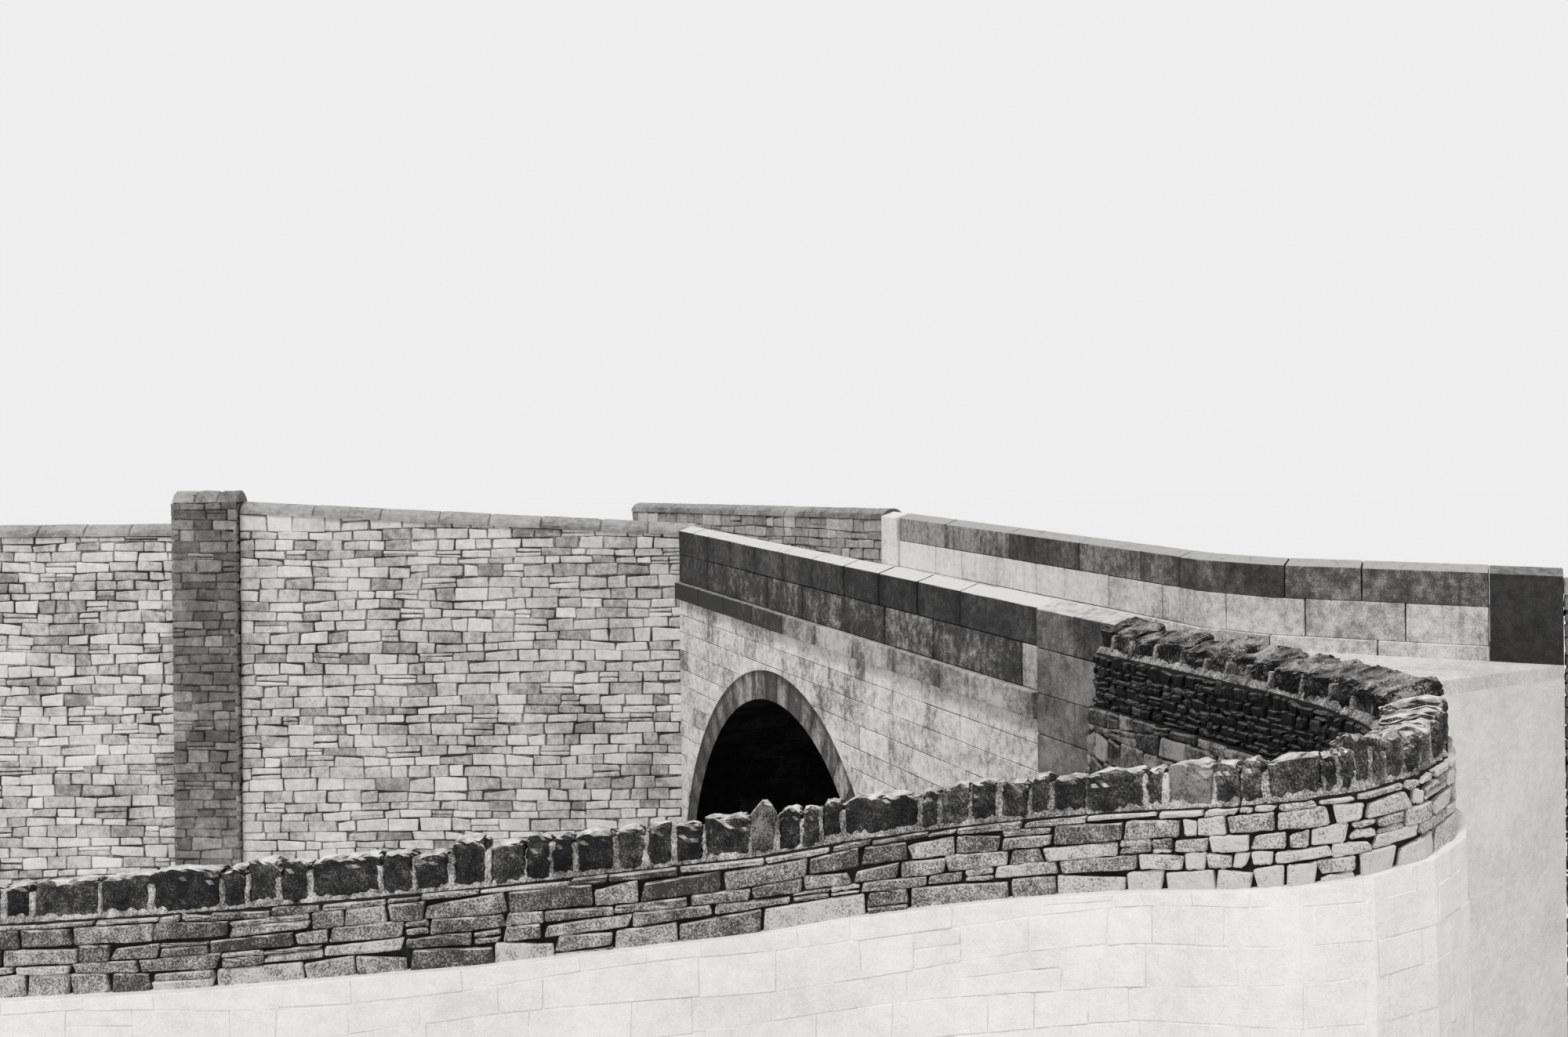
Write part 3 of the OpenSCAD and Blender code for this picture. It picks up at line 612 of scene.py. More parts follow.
# Lines of the walls in plan, and the heights of their tops
road = Path([[-30, 0], [30, 0]], first=-30)
on_road = placer(road, raked)
flare_centre = np.array([FLARE, FAR_IN + FLARE_R])
kink = FLARE_TURN / 2
kink_r = FLARE_R / math.cos(math.radians(kink / 2))
flare_bend = [flare_centre - kink_r * left_of((i + 0.5) * kink) for i in range(2)]
flare_dir = heading(FLARE_TURN)
flare_tip = flare_centre - FLARE_R * left_of(FLARE_TURN) + flare_dir * FLARE_RUN
flare = Path([[FLARE, FAR_IN], *flare_bend, (flare_bend[1] + flare_tip) / 2, flare_tip])
pier_end = flare_tip + flare_dir * PIER_LEN
pier_path = Path([flare_tip, pier_end])
right_start = pier_end + left_of(FLARE_TURN) * APPROACH_T / 2
right_path = Path([right_start, right_start + flare_dir * RIGHT_APPROACH_LEN])
right_top = steady(FAR_TOP - GRADE * pier_end[0] - RIGHT_STEP - ROUND_H)
river_dir = heading(RIVER_TURN)
river_start = np.array([NEAR_LEFT, 0]) - left_of(RIVER_TURN) * RIVER_T / 2
FAR_START = RIVER_LEN + BREAK_LEN
FAR_END = FAR_START + RIVER_FAR_LEN
river_path = Path([river_start - river_dir * 2, river_start + river_dir * FAR_END], first=-2)
near_left_top = PARAPET_TOP - GRADE * NEAR_LEFT
river_ridge = near_left_top + RIVER_RISE
river_far_top = steady(river_ridge - RIVER_FAR_DROP - ROUND_H)
break_path = Path([river_start + river_dir * s + left_of(RIVER_TURN) * BREAK_OUT / 2
                   for s in (RIVER_LEN, FAR_START)])
break_top = steady(river_ridge + BREAK_RISE - ROUND_H)
approach_dir = heading(180 + APPROACH_TURN)
approach_start = (np.array([FAR_LEFT, FAR_IN])
                  - left_of(180 + APPROACH_TURN) * APPROACH_T / 2)
approach_path = Path([approach_start - approach_dir,
                      approach_start + approach_dir * APPROACH_LEN], first=-1)
approach_top = steady(FAR_TOP - GRADE * FAR_LEFT + APPROACH_STEP - ROUND_H)

# The lane wall: each stretch's length, its turn to the left in degrees and its legs
lane_points = [np.array([NEAR_RIGHT, -PILASTER_OUT])]
lane_turn = -3.5
for length, turn, count in ((3.4, -5, 3), (2.15, -21, 3), (0.72 * math.radians(125), -125, 5),
                            (3.5, 49, 5), (5.7, -19, 3)):
    lane_points += bend(lane_points[-1], lane_turn, length, turn, count)
    lane_turn += turn
lane = Path(lane_points)
CORNER, FRONT, TAIL, END = lane.s[6], lane.s[11], lane.s[16], lane.s[19]
crest_start = PARAPET_TOP - GRADE * NEAR_RIGHT - CREST_STEP
crest_heights = [crest_start - drop for drop in (0.0, 0.0, 0.345, 0.875, 1.41)]


def river_wall_top(s):
    return float(np.interp(s, [-2 * PARAPET, RIVER_LEN],
                           [near_left_top - ROUND_H, river_ridge - ROUND_H]))


def crest(s):
    return np.interp(s, [0, CORNER, FRONT, TAIL, END], crest_heights)


def below_crest(s, xy, b):
    return crest(s) + b


def crest_less(drop):
    return lambda s: float(crest(s)) - drop


# Dressed blocks of the parapets
def raked_blocks(x_from, x_to, size):
    count = max(1, math.floor((x_to - x_from) / size - 0.4))
    return between(*[x_from + i * size for i in range(count)], x_to)


def weathered(pts, high, y_from, y_to, fall):
    """Slopes a coping's top down to both faces."""
    middle, half = (y_from + y_to) / 2, (y_to - y_from) / 2
    share = np.clip((pts[:, 1] - (high - 0.15)) / 0.12, 0, 1)
    pts[:, 1] -= fall * share * np.abs(pts[:, 2] - middle) / half
    return pts


def dressed_row(out, rng, place, spans, low, high, y_from, y_to, joint=0.018, radius=0.014,
                rough=0.0012, skew=0.004, fall=0.0, worn=1.0, tones=None, bed=0.0, soot=0.3,
                tight=(), cell=0.14, least=6):
    """Blocks end to end; tight lists the joints, counted from the first block's start, that
    are thin and clean. soot darkens the others."""
    for k, (a0, a1) in enumerate(spans):
        cells = (max(least, int((a1 - a0) / cell)), 6, 6)
        start, end = (0.35 if k + i in tight else 1.0 for i in (0, 1))
        pts, faces = block(rng, (a0 + joint * start / 2, low + bed, y_from),
                           (a1 - joint * end / 2, high, y_to), cells, radius, rough, skew)
        pts = weathered(pts, high, y_from, y_to, fall)
        tone = tone_of(rng) if tones is None else tones[k % len(tones)]
        stain = (start * np.clip(1 - (pts[:, 0] - a0) / 0.045, 0, 1)
                 + end * np.clip(1 - (a1 - pts[:, 0]) / 0.045, 0, 1))
        out.add(place(pts), faces, tone - soot * stain, 0, worn)


def box_core(out, place, s_from, s_to, low, high, y_from, y_to):
    """The dark body behind the joints of dressed blocks."""
    section = ((low, y_from), (low, y_to), (high, y_to), (high, y_from))
    out.loft([place([[s, z, y] for z, y in section]) for s in (s_from + INSET, s_to - INSET)])


def dressed_piece(node, slot, material, spans, low, high, y_from, y_to, path=road, **options):
    """A row of blocks; a dark body fills the joints of the straight ones."""
    out, place = Masonry(), placer(path, raked)
    dressed_row(out, random_for(node), place, spans, low, high, y_from, y_to, **options)
    if path is road:
        box_core(out, place, spans[0][0], spans[-1][1], low + 0.001, high - CORE_DROP,
                 y_from + JOINT_DEPTH, y_to - JOINT_DEPTH)
    out.piece(node, slot, [material, SOOT_JOINT] if path is road else [material])


dressed_piece("near_coping", "sooty", SOOTY, raked_blocks(NEAR_PARAPET, PILASTER, 1.155),
              COURSE_TOP, PARAPET_TOP, 0, PARAPET, fall=FALL, joint=0.024, bed=0.012, soot=1.0,
              tight=(1, 2, 3, 4, 8), tones=(0.5, 0.55, 0.6, 0.55, 0.6, 0.3, 0.2, 0.35, 0.5))
dressed_piece("near_course", "sooty", SOOTY_LOW,
              raked_blocks(NEAR_PARAPET, PILASTER - 0.4, 1.42) + [(PILASTER - 0.4, PILASTER)],
              STRING_TOP, COURSE_TOP, 0, PARAPET, worn=0.0, bed=0.008, soot=0.6,
              tight=(1, 4, 8), tones=(0.3, 0.35, 0.42, 0.46, 0.3, 0.66, 0.42, 1.2))
dressed_piece("near_string", "dressed", STRING_STONE, raked_blocks(NEAR_LEFT, PILASTER, 1.3),
              STRING_LOW, STRING_TOP, -STRING_OUT, PARAPET, radius=0.018,
              tones=(-0.15, -0.15, -0.1, 0.25, 0.6, 0.85, 0.75, 0.65, 0.7))
dressed_piece("far_string", "pale", PALE, raked_blocks(FAR_LEFT, FLARE, 1.5),
              FAR_STRING_LOW, FAR_STRING_TOP, FAR_IN - LEDGE, FAR_OUT + STRING_OUT)
dressed_piece("far_course", "pale", PALE,
              between(NEAR_LEFT, -3.0, -2.0, -0.75, 0.55, 1.43, 2.67, 4.05, FLARE),
              FAR_STRING_TOP, FAR_COURSE_TOP, FAR_IN, FAR_OUT, worn=0.0, bed=0.008,
              tight=(8,), tones=(1.0, 0.95, 0.9, 0.85, 0.75, 0.7, 0.5, 0.4))
dressed_piece("far_coping", "dressed", FAR_COPE,
              between(NEAR_LEFT, -2.6, -0.3, 1.85, 3.5, FLARE), FAR_COURSE_TOP, FAR_TOP,
              FAR_IN, FAR_OUT, fall=FALL, bed=0.008, soot=0.5, tight=(4,),
              tones=(1.0, 0.8, 0.35, 0.75, 0.45))
dressed_piece("kerb_stones", "pale", PALE, raked_blocks(NEAR_LEFT, FLARE, 0.9), ROAD,
              ROAD + KERB_H, FAR_IN - LEDGE - KERB_W, FAR_IN - LEDGE, radius=0.012,
              rough=0.004, joint=0.02)


def stacked(node, slot, material, x_from, x_to, cuts, y_from, y_to, split=(), tones=None,
            worn=1.0, tight=()):
    """A pier of dressed blocks: cuts are the raked bed joints from the bottom, split the
    courses of two stones."""
    out, rng = Masonry(), random_for(node)
    for i, (low, high) in enumerate(between(*cuts)):
        spans = between(x_from, (x_from + x_to) / 2, x_to) if i in split else [(x_from, x_to)]
        last = i == len(cuts) - 2
        dressed_row(out, rng, on_road, spans, low + BED_JOINT, high - BED_JOINT, y_from, y_to,
                    fall=FALL if last else 0.0, worn=worn if last else 0.0, tones=tones,
                    tight=tight)
    box_core(out, on_road, x_from, x_to, cuts[0] + INSET, cuts[-1] - CORE_DROP,
             y_from + INSET, y_to - INSET)
    out.piece(node, slot, [material, SOOT_JOINT])


stacked("near_left_pier", "sooty", SOOTY, NEAR_LEFT, NEAR_PARAPET,
        [STRING_TOP, COURSE_TOP, PARAPET_TOP], 0, PARAPET, (1,), tones=(0.4,), tight=(1, 2))
pilaster_cuts = [GRADE * NEAR_RIGHT - 0.35 + i * 0.425 for i in range(14)]
pilaster_cuts = [c for c in pilaster_cuts if c < STRING_TOP - 0.3]
pilaster_cuts += [STRING_TOP, COURSE_TOP, PARAPET_TOP]
stacked("right_pilaster", "sooty", PILASTER_STONE, PILASTER, NEAR_RIGHT, pilaster_cuts,
        -PILASTER_OUT, PARAPET, [len(pilaster_cuts) - k for k in (2, 4, 6, 8)], worn=0.8,
        tight=(0, 1, 2))
stacked("far_left_pier", "pale", PALE, FAR_LEFT, NEAR_LEFT, [FAR_STRING_TOP, FAR_TOP],
        FAR_IN - PIER_OUT, FAR_OUT, tones=(1.0,))

# Flared parapet
flared = dict(path=flare, joint=0.014, skew=0.003, soot=0.0, cell=0.12, least=5)
dressed_piece("flare_coping", "dressed", FAR_COPE, between(0.0, 1.7, 2.64, flare.length),
              FAR_COURSE_TOP, FAR_TOP, 0, PARAPET, fall=FALL, tones=(0.3, 0.5, 0.35), **flared)
dressed_piece("flare_course", "pale", PALE, between(0.0, 0.87, 1.95, 3.16, flare.length),
              FAR_STRING_TOP, FAR_COURSE_TOP, 0, PARAPET, tones=(0.35, 0.4, 0.1, 0.3), **flared)
dressed_piece("flare_string", "pale", PALE, between(*flare.s), FAR_STRING_LOW, FAR_STRING_TOP,
              -LEDGE, PARAPET + STRING_OUT, **flared)


def far_pier():
    out, rng = Masonry(), random_for("far_right_pier")
    place = placer(pier_path, raked)
    beds = [-0.5 + 0.46 * i for i in range(14)]
    beds = [b for b in beds if b < FAR_STRING_LOW - 0.2] + [FAR_STRING_LOW, FAR_TOP]
    for low, high in between(*beds):
        pts, faces = block(rng, (0.001, low + BED_JOINT, -PIER_OUT),
                           (PIER_LEN - 0.001, high - BED_JOINT, PARAPET), (7, 7, 6), 0.014,
                           0.0012, 0.002)
        if high == FAR_TOP:
            pts = weathered(pts, high, -PIER_OUT, PARAPET, FALL)
        out.add(place(pts), faces, tone_of(rng))
    box_core(out, place, 0.0, PIER_LEN, -0.4, FAR_TOP - CORE_DROP, -PIER_OUT + INSET,
             PARAPET - INSET)
    out.piece("far_right_pier", "sooty", [DARK_PIER, SOOT_JOINT])


far_pier()


# Arch
def soffit_shadow_kinds(faces, reach, limit):
    """The vault's near-black material, damp stone with painted shadow, for the faces that look
    into the opening.
    """
    return [2 if reach[list(face)].max() < limit else 0 for face in faces]


def on_arch(radius, angle, y):
    return np.column_stack([radius * np.cos(angle), y, SPRING + radius * np.sin(angle)]) - DATUM


def arch_core(out, first, last, r0, r1, y0, y1):
    """The dark body behind arch stones, between two angles and two radii."""
    section = ((r0, y0), (r0, y1), (r1, y1), (r1, y0))
    out.loft([in_frame([[r * math.cos(a), y, SPRING + r * math.sin(a)] for r, y in section])
              for a in np.radians(np.linspace(first, last, 49))])


def foot_block(out, x_from, x_to, y0, y1, kind=1):
    """A box from the bed to the springing."""
    x0, x1 = sorted((x_from, x_to))
    out.loft([in_frame([[x0, y, 0], [x1, y, 0], [x1, y, SPRING], [x0, y, SPRING]])
              for y in (y0, y1)], kind)


def ring_stones(node, y_from, y_to):
    out, rng = Masonry(), random_for(node + "_stones")
    step = 180 / VOUSSOIRS
    for i in range(VOUSSOIRS):
        pts, faces = block(rng, (0, 0, y_from), (1, RING, y_to), (5, 6, 6), 0.012, 0.002)
        radius = ARCH_R + pts[:, 1]
        width = np.radians(step / 2) * radius - 0.005
        across = (pts[:, 0] - 0.5) * 2 * width
        angle = math.radians((i + 0.5) * step) + across / radius
        joint = np.clip(2 * np.abs(pts[:, 0] - 0.5) * 6 - 5, 0, 1)
        tone = tone_of(rng, 0.28) - 0.5 * joint - 0.6 * (pts[:, 1] > RING - 0.02)
        # Faces that look into the opening take the near-black material with painted shadow
        out.add(on_arch(radius, angle, pts[:, 2]), faces, tone,
                soffit_shadow_kinds(faces, pts[:, 1], 0.03))
    arch_core(out, 0.3, 179.7, ARCH_R + INSET, EXTRA_R - INSET, y_from + INSET, y_to - INSET)
    out.piece(node, "dressed", [RING_STONE, SOOT_JOINT, VAULT_DAMP_AND_SHADOW])


ring_stones("near_ring", 0.0, RING_BED)
ring_stones("far_ring", FAR_OUT - RING_BED, FAR_OUT)
VAULT_FROM, VAULT_TO = RING_BED, FAR_OUT - RING_BED
VAULT_JOINT, VAULT_CORE = 0.005, ARCH_R + 0.025


def vault():
    out, rng = Masonry(), random_for("barrel")
    arc = math.radians(180 / VOUSSOIRS) * ARCH_R
    for i in range(VOUSSOIRS):
        step = lambda y: rng.uniform(0.5, 0.85) * (0.6 if y == VAULT_FROM and i % 2 else 1)
        for y, end in laid(VAULT_FROM, VAULT_TO, step, 0.25):
            pts, faces = face_stone(rng, y + VAULT_JOINT, end - VAULT_JOINT, (VAULT_JOINT,) * 2,
                                    (arc - VAULT_JOINT,) * 2, 0.012, 0.006, 0.004, back=0.08)
            angle = math.radians(i * (180 / VOUSSOIRS)) + pts[:, 1] / ARCH_R
            out.add(on_arch(ARCH_R - pts[:, 2], angle, pts[:, 0]), faces, tone_of(rng))
    arch_core(out, 0, 180, VAULT_CORE, EXTRA_R, VAULT_FROM, VAULT_TO)
    for side in (-1, 1):
        foot_block(out, side * VAULT_CORE, side * EXTRA_R, VAULT_FROM, VAULT_TO)
    # The barrel's stones take the near-black material with painted shadow
    out.piece("barrel", "rubble", [VAULT_DAMP_AND_SHADOW, SOOT_JOINT])


def abutment(node, side):
    out, rng = Masonry(), random_for(node)
    path = Path([[side * ARCH_R, VAULT_FROM - 1], [side * ARCH_R, VAULT_TO + 1]],
                first=VAULT_FROM - 1)
    course_face(out, rng, placer(path, level_height, side=side), VAULT_FROM, VAULT_TO,
                [0.0, 0.31, SPRING], (0.6, 0.95), 0.01, bevel=0.014, rough=0.006, skew=0.004)
    # Dark behind the joints of the face, pale rubble from there outwards
    for near_face, far_face, kind in ((0.025, 0.3, 1), (0.3, ABUTMENT, 2)):
        foot_block(out, side * (ARCH_R + near_face), side * (ARCH_R + far_face), VAULT_FROM,
                   VAULT_TO, kind)
    # The abutment's face stones take the near-black material with painted shadow
    out.piece(node, "rubble", [VAULT_DAMP_AND_SHADOW, SOOT_JOINT, EARTH])


vault()
abutment("left_abutment", -1)
abutment("right_abutment", 1)


# Spandrels
SPANDREL_COURSE = 0.30


def outside_arch(pts):
    """Cuts a spandrel stone at the extrados; one that lies wholly inside is left out."""
    x, z = pts[:, 0], pts[:, 1] - GRADE * pts[:, 0]
    above = z - SPRING
    r = np.hypot(x, np.maximum(above, 0))
    clear = EXTRA_R + CLEAR
    inside = r < clear
    if inside.all() or (z < 0.0).all():
        return None
    pts = pts.copy()
    side = np.sign(x.mean()) or 1.0
    for i in np.nonzero(inside)[0]:
        if above[i] > 0.02:
            grow = clear / max(r[i], 0.5)
            out_x, out_z = x[i] * grow, above[i] * grow + SPRING
        else:
            out_x, out_z = side * clear, z[i]
        pts[i, :2] = out_x, out_z + GRADE * out_x
    pts[:, 1] = np.maximum(pts[:, 1], GRADE * pts[:, 0])
    return None if np.ptp(pts[:, 0]) < 0.05 or np.ptp(pts[:, 1]) < 0.02 else pts


def arch_cut_core(out, x_from, x_to, top, y_from, y_to):
    """The spandrel's body beside and over the arch, following the extrados."""
    arc = sorted(EXTRA_R * math.cos(math.radians(a)) for a in range(6, 180, 6))
    over = [(x, SPRING + math.sqrt(max(EXTRA_R ** 2 - x * x, 0))) for x in arc]
    for feet in ([(x_from, 0.0), (-EXTRA_R, 0.0)],
                 [(-EXTRA_R, SPRING), *over, (EXTRA_R, SPRING)],
                 [(EXTRA_R, 0.0), (x_to, 0.0)]):
        out.loft([in_frame([[x, y_from, z], [x, y_to, z], [x, y_to, top - GRADE * x],
                            [x, y_from, top - GRADE * x]]) for x, z in feet])


def spandrel(node, slot, x_from, x_to, top, offset, side, y_from, y_to):
    out, rng = Masonry(), random_for(node)
    place = placer(road, raked, flat(offset), side)
    beds = [top]
    while beds[-1] > GRADE * x_from - SPANDREL_COURSE - 0.2:
        beds.append(beds[-1] - SPANDREL_COURSE * rng.uniform(0.9, 1.1))
    course_face(out, rng, place, x_from, x_to, beds[::-1], (0.5, 1.0), 0.008, outside_arch,
                bevel=0.009, rough=0.003, skew=0.003, columns=5, rows=3)
    arch_cut_core(out, x_from, x_to, top, y_from, y_to)
    # Blocks under the ring's feet, with painted shadow on the side of the opening
    for x in (-EXTRA_R, ARCH_R):
        for low, high in between(0.0, SPRING / 2, SPRING):
            pts, faces = block(rng, (x + 0.002, min(y_from, offset), low),
                               (x + RING - 0.002, max(y_to, offset), high - CLEAR),
                               (5, 5, 5), 0.012, 0.002)
            kinds = soffit_shadow_kinds(faces, np.abs(pts[:, 0]), ARCH_R + 0.03)
            out.add(pts - DATUM, faces, tone_of(rng), kinds)
    out.piece(node, slot, [ASHLAR, ASHLAR_JOINT, VAULT_DAMP_AND_SHADOW])


spandrel("near_spandrel", "dressed", NEAR_LEFT, PILASTER, STRING_LOW, 0.0, -1,
         JOINT_DEPTH * 0.6, RING_BED)
spandrel("far_spandrel", "rubble", FAR_LEFT, FLARE, FAR_STRING_LOW, FAR_OUT, 1,
         FAR_OUT - RING_BED, FAR_OUT - JOINT_DEPTH * 0.6)

# Rubble walls
RUBBLE_LAY = dict(joint=0.016, bevel=0.014, rough=0.010, skew=0.012, wander=0.035, split=0.10,
                  slant=0.15, wedge=0.25)


def end_face(out, rng, path, s, way, half, top, course, options, bottom=0.0):
    """Closes a wall's end with stones; way is 1 at the path's end and -1 at its start."""
    centre = path.at([s], [0.0])[0]
    normal = path.at([s], [1.0])[0] - centre
    cross = Path([centre - normal * half, centre + normal * half])
    place = placer(cross, level_height, side=-way)
    beds = beds_up(rng, bottom, top, course)
    course_face(out, rng, place, 0.0, cross.length, beds, (half * 0.8, half * 1.6), **options)


def rubble_wall(node, path, s_from, s_to, thick, top, ends, stone=RUBBLE, course=0.175,
                extra=(), limit=math.inf, cap=None):
    """A wall of rubble in courses; top(s) is its height, limit the plane across X at which
    it meets the bridge, cap what is laid on it."""
    out, rng, half = Masonry(), random_for(node + "_stones"), thick / 2
    highest = max(top(s) for s in (s_from, s_to, *extra))
    for side in (-1, 1):
        place = beside(placer(path, level_height, flat(half), side), limit)
        beds = beds_up(rng, 0.0, highest, course)
        course_face(out, rng, place, s_from, s_to, beds, (0.26, 0.62), keep=under(top),
                    **RUBBLE_LAY)
    core(out, path, s_from, s_to, steady(0.0), top, flat(half), JOINT_DEPTH, extra=extra,
         inset_end=JOINT_DEPTH if ends else 0.0)
    out.points[-1][:, 0] = np.minimum(out.points[-1][:, 0], limit - DATUM[0])
    for way in ends:
        s = s_to if way > 0 else s_from
        end_face(out, rng, path, s, way, half, top(s), course, RUBBLE_LAY)
    if cap:
        cap(out, rng)
    out.piece(node, "rubble", [stone, RUBBLE_JOINT])


# The approach wall takes the darker rubble with painted shade
rubble_wall("left_approach_wall", approach_path, -0.4, APPROACH_LEN, APPROACH_T,
            approach_top, (1,), SHADED_APPROACH_RUBBLE, extra=(0.1,), limit=FAR_LEFT)
rubble_wall("right_approach_wall", right_path, 0.0, RIGHT_APPROACH_LEN, APPROACH_T,
            right_top, (1,), OLD_RUBBLE)
rubble_wall("river_wall", river_path, -0.85, RIVER_LEN, RIVER_T, river_wall_top, (),
            extra=(0.0,), limit=NEAR_LEFT)
rubble_wall("river_far_wall", river_path, FAR_START, FAR_END, RIVER_T, river_far_top, (1,))


def flare_wing():
    out, rng = Masonry(), random_for("flare_wing")
    top = FAR_STRING_LOW
    beds = beds_up(rng, GRADE * FLARE - 0.1, top, 0.26)

    def keep(pts):
        return cut_stone(pts, GRADE * flare.at(pts[:, 0], np.full(len(pts), PARAPET))[:, 0])

    course_face(out, rng, placer(flare, raked, flat(PARAPET)), 0.0, flare.length, beds,
                (0.4, 0.9), keep=keep, **RUBBLE_LAY)
    rings = []
    for s in flare.s:
        inner, outer = flare.at([s, s], [0.0, PARAPET - JOINT_DEPTH])
        rings.append(in_frame([[*inner, 0], [*outer, 0], [*outer, top - GRADE * outer[0]],
                               [*inner, top - GRADE * inner[0]]]))
    out.loft(rings)
    out.piece("flare_wing", "rubble", [RUBBLE, RUBBLE_JOINT])


flare_wing()


def coping_lengths(out, rng, path, s_from, s_to, width, level, size, limit=math.inf, lump=0.005):
    """Half-round stones end to end along a wall's top, with open joints."""
    radius = (width * width / 4 + ROUND_H ** 2) / (2 * ROUND_H)
    sweep = math.asin(min(1.0, width / 2 / radius))
    sweep = math.pi - sweep if ROUND_H > radius else sweep
    angles = np.linspace(-sweep, sweep, 13)
    for s, end in laid(s_from, s_to, lambda s: rng.uniform(*size), size[0] * 0.6):
        rings = []
        a0, a1 = s + 0.005, end - 0.005
        bulge = rng.normal(0, 0.004)
        inside = np.linspace(a0 + 0.1, a1 - 0.1, max(2, int((a1 - a0) / 0.2)))
        for q in (a0, a0 + 0.02, *inside, a1 - 0.02, a1):
            shrink = 0.016 if q in (a0, a1) else 0.0
            r = radius - shrink - abs(bulge) - np.abs(rng.normal(0, lump, len(angles)))
            z = np.cos(angles) * r - (radius - ROUND_H)
            xy = path.at(np.full(len(r), q), np.sin(angles) * r + bulge)
            ring = np.column_stack([xy, np.maximum(z, 0.0) + level(q)]) - DATUM
            ring[:, 0] = np.minimum(ring[:, 0], limit - DATUM[0] - 0.006)
            rings.append(ring)
        out.loft(rings, 0, tone_of(rng, 0.3))
    rings = []
    for q in stations(path, s_from + 0.03, s_to - 0.03):
        w, h = width / 2 - 0.05, ROUND_H * 0.62
        xy = path.at([q] * 4, [-w, w, w * 0.6, -w * 0.6])
        rings.append(np.column_stack([xy, np.array([0, 0, h, h]) + level(q)]) - DATUM)
    out.loft(rings)


def round_coping(node, path, s_from, s_to, thick, level, size, limit=math.inf,
                 material=ROUND_COPE):
    out, rng = Masonry(), random_for(node + "_stones")
    coping_lengths(out, rng, path, s_from, s_to, thick + 2 * OVERHANG, level, size, limit)
    out.piece(node, "rubble", [material, RUBBLE_JOINT])


round_coping("river_wall_coping", river_path, -0.3, RIVER_LEN - 0.003, RIVER_T,
             river_wall_top, (0.8, 1.3), NEAR_LEFT)
round_coping("river_far_coping", river_path, FAR_START + 0.003, FAR_END, RIVER_T,
             river_far_top, (0.7, 1.1))
round_coping("left_approach_coping", approach_path, -0.1, APPROACH_LEN, APPROACH_T,
             approach_top, (0.9, 1.5), FAR_LEFT, DIM_COPE)
round_coping("right_approach_coping", right_path, 0.0, RIGHT_APPROACH_LEN, APPROACH_T,
             right_top, (0.8, 1.2), material=DIM_COPE)


def break_cap(out, rng):
    coping_lengths(out, rng, break_path, 0.0, BREAK_LEN, RIVER_T + BREAK_OUT, break_top,
                   (0.3, 0.5), lump=0.02)


rubble_wall("river_wall_break", break_path, 0.0, BREAK_LEN, RIVER_T + BREAK_OUT,
            break_top, (-1, 1), OLD_RUBBLE, course=0.17, cap=break_cap)

# Dry-stone lane wall
LANE_LAY = dict(joint=0.012, bevel=0.010, rough=0.011, skew=0.012, wander=0.030, split=0.18,
                columns=6, rows=3, back=0.10, slant=0.28, wedge=0.3)
DARK_LAY = dict(joint=0.018, bevel=0.016, rough=0.018, skew=0.016, wander=0.03, split=0.15,
                columns=4, rows=2, back=0.12, slant=0.7, wedge=0.4)


def lane_bias(s, b):
    """The wall's stones are lighter round the corner than further along, and towards its foot."""
    along = np.interp(s, [CORNER, FRONT, (FRONT + TAIL) / 2, TAIL, END],
                      [0.55, 0.5, -0.05, -0.2, -0.17])
    return float(along) + 0.25 * float(np.clip(-b - 0.55, 0, 0.3)) / 0.3


def round_the_corner(s):
    """Only small stones follow the tight bend."""
    return float(np.interp(s, [CORNER - 0.5, CORNER, FRONT, FRONT + 0.7], [1.0, 0.45, 0.45, 1.0]))


def lane_walling():
    """The walling between lane level and cope; the lane lies on the path's left."""
    stretches = (("return_wall", 0.0, CORNER), ("corner_wall", CORNER, FRONT),
                 ("front_wall", FRONT, END))
    rng, half = random_for("lane_wall"), LANE_T / 2
    foot, top = crest_less(LANE_H), crest_less(COPE_H)
    outs = [Masonry() for _ in stretches]
    home = lambda pts: outs[np.searchsorted([CORNER, FRONT], pts[:, 0].mean())]
    lane_beds = [-LANE_H - 0.045, -LANE_H + 0.14,
                 *beds_up(rng, -LANE_H + 0.23, -COPE_H - 0.05, 0.083), -COPE_H]
    dark_beds = beds_up(rng, -LANE_H, -COPE_H, 0.07, 0.3)
    course_face(home, rng, placer(lane, below_crest, flat(half)), 0.0, END, lane_beds,
                (0.16, 0.62), tone=0.25, bias=lane_bias, first_length=(0.3, 0.8),
                shorter=round_the_corner, **LANE_LAY)
    # The river side's stones take the darkest flags and a further darkening: stain and painted
    # shade
    course_face(home, rng, placer(lane, below_crest, flat(half), -1), 0.0, END, dark_beds,
                (0.10, 0.28), tone=0.25, kind=2, bias=lambda s, b: -0.35, **DARK_LAY)
    for (node, s_from, s_to), out in zip(stretches, outs):
        last = s_to == END
        core(out, lane, s_from, s_to, foot, top, flat(half), 0.05,
             inset_end=JOINT_DEPTH if last else 0.0)
        if last:
            end_face(out, rng, lane, s_to, 1, half, top(s_to), 0.09, LANE_LAY, foot(s_to))
        out.piece(node, "lane_stone", [LANE, LANE_JOINT, LANE_STAIN_AND_SHADE])


lane_walling()


def base_half(z):
    """Half the base's thickness at a height; it widens downwards from the lane's level."""
    return LANE_T / 2 + FOOTING + BATTER * (crest_start - LANE_H - np.asarray(z, float))


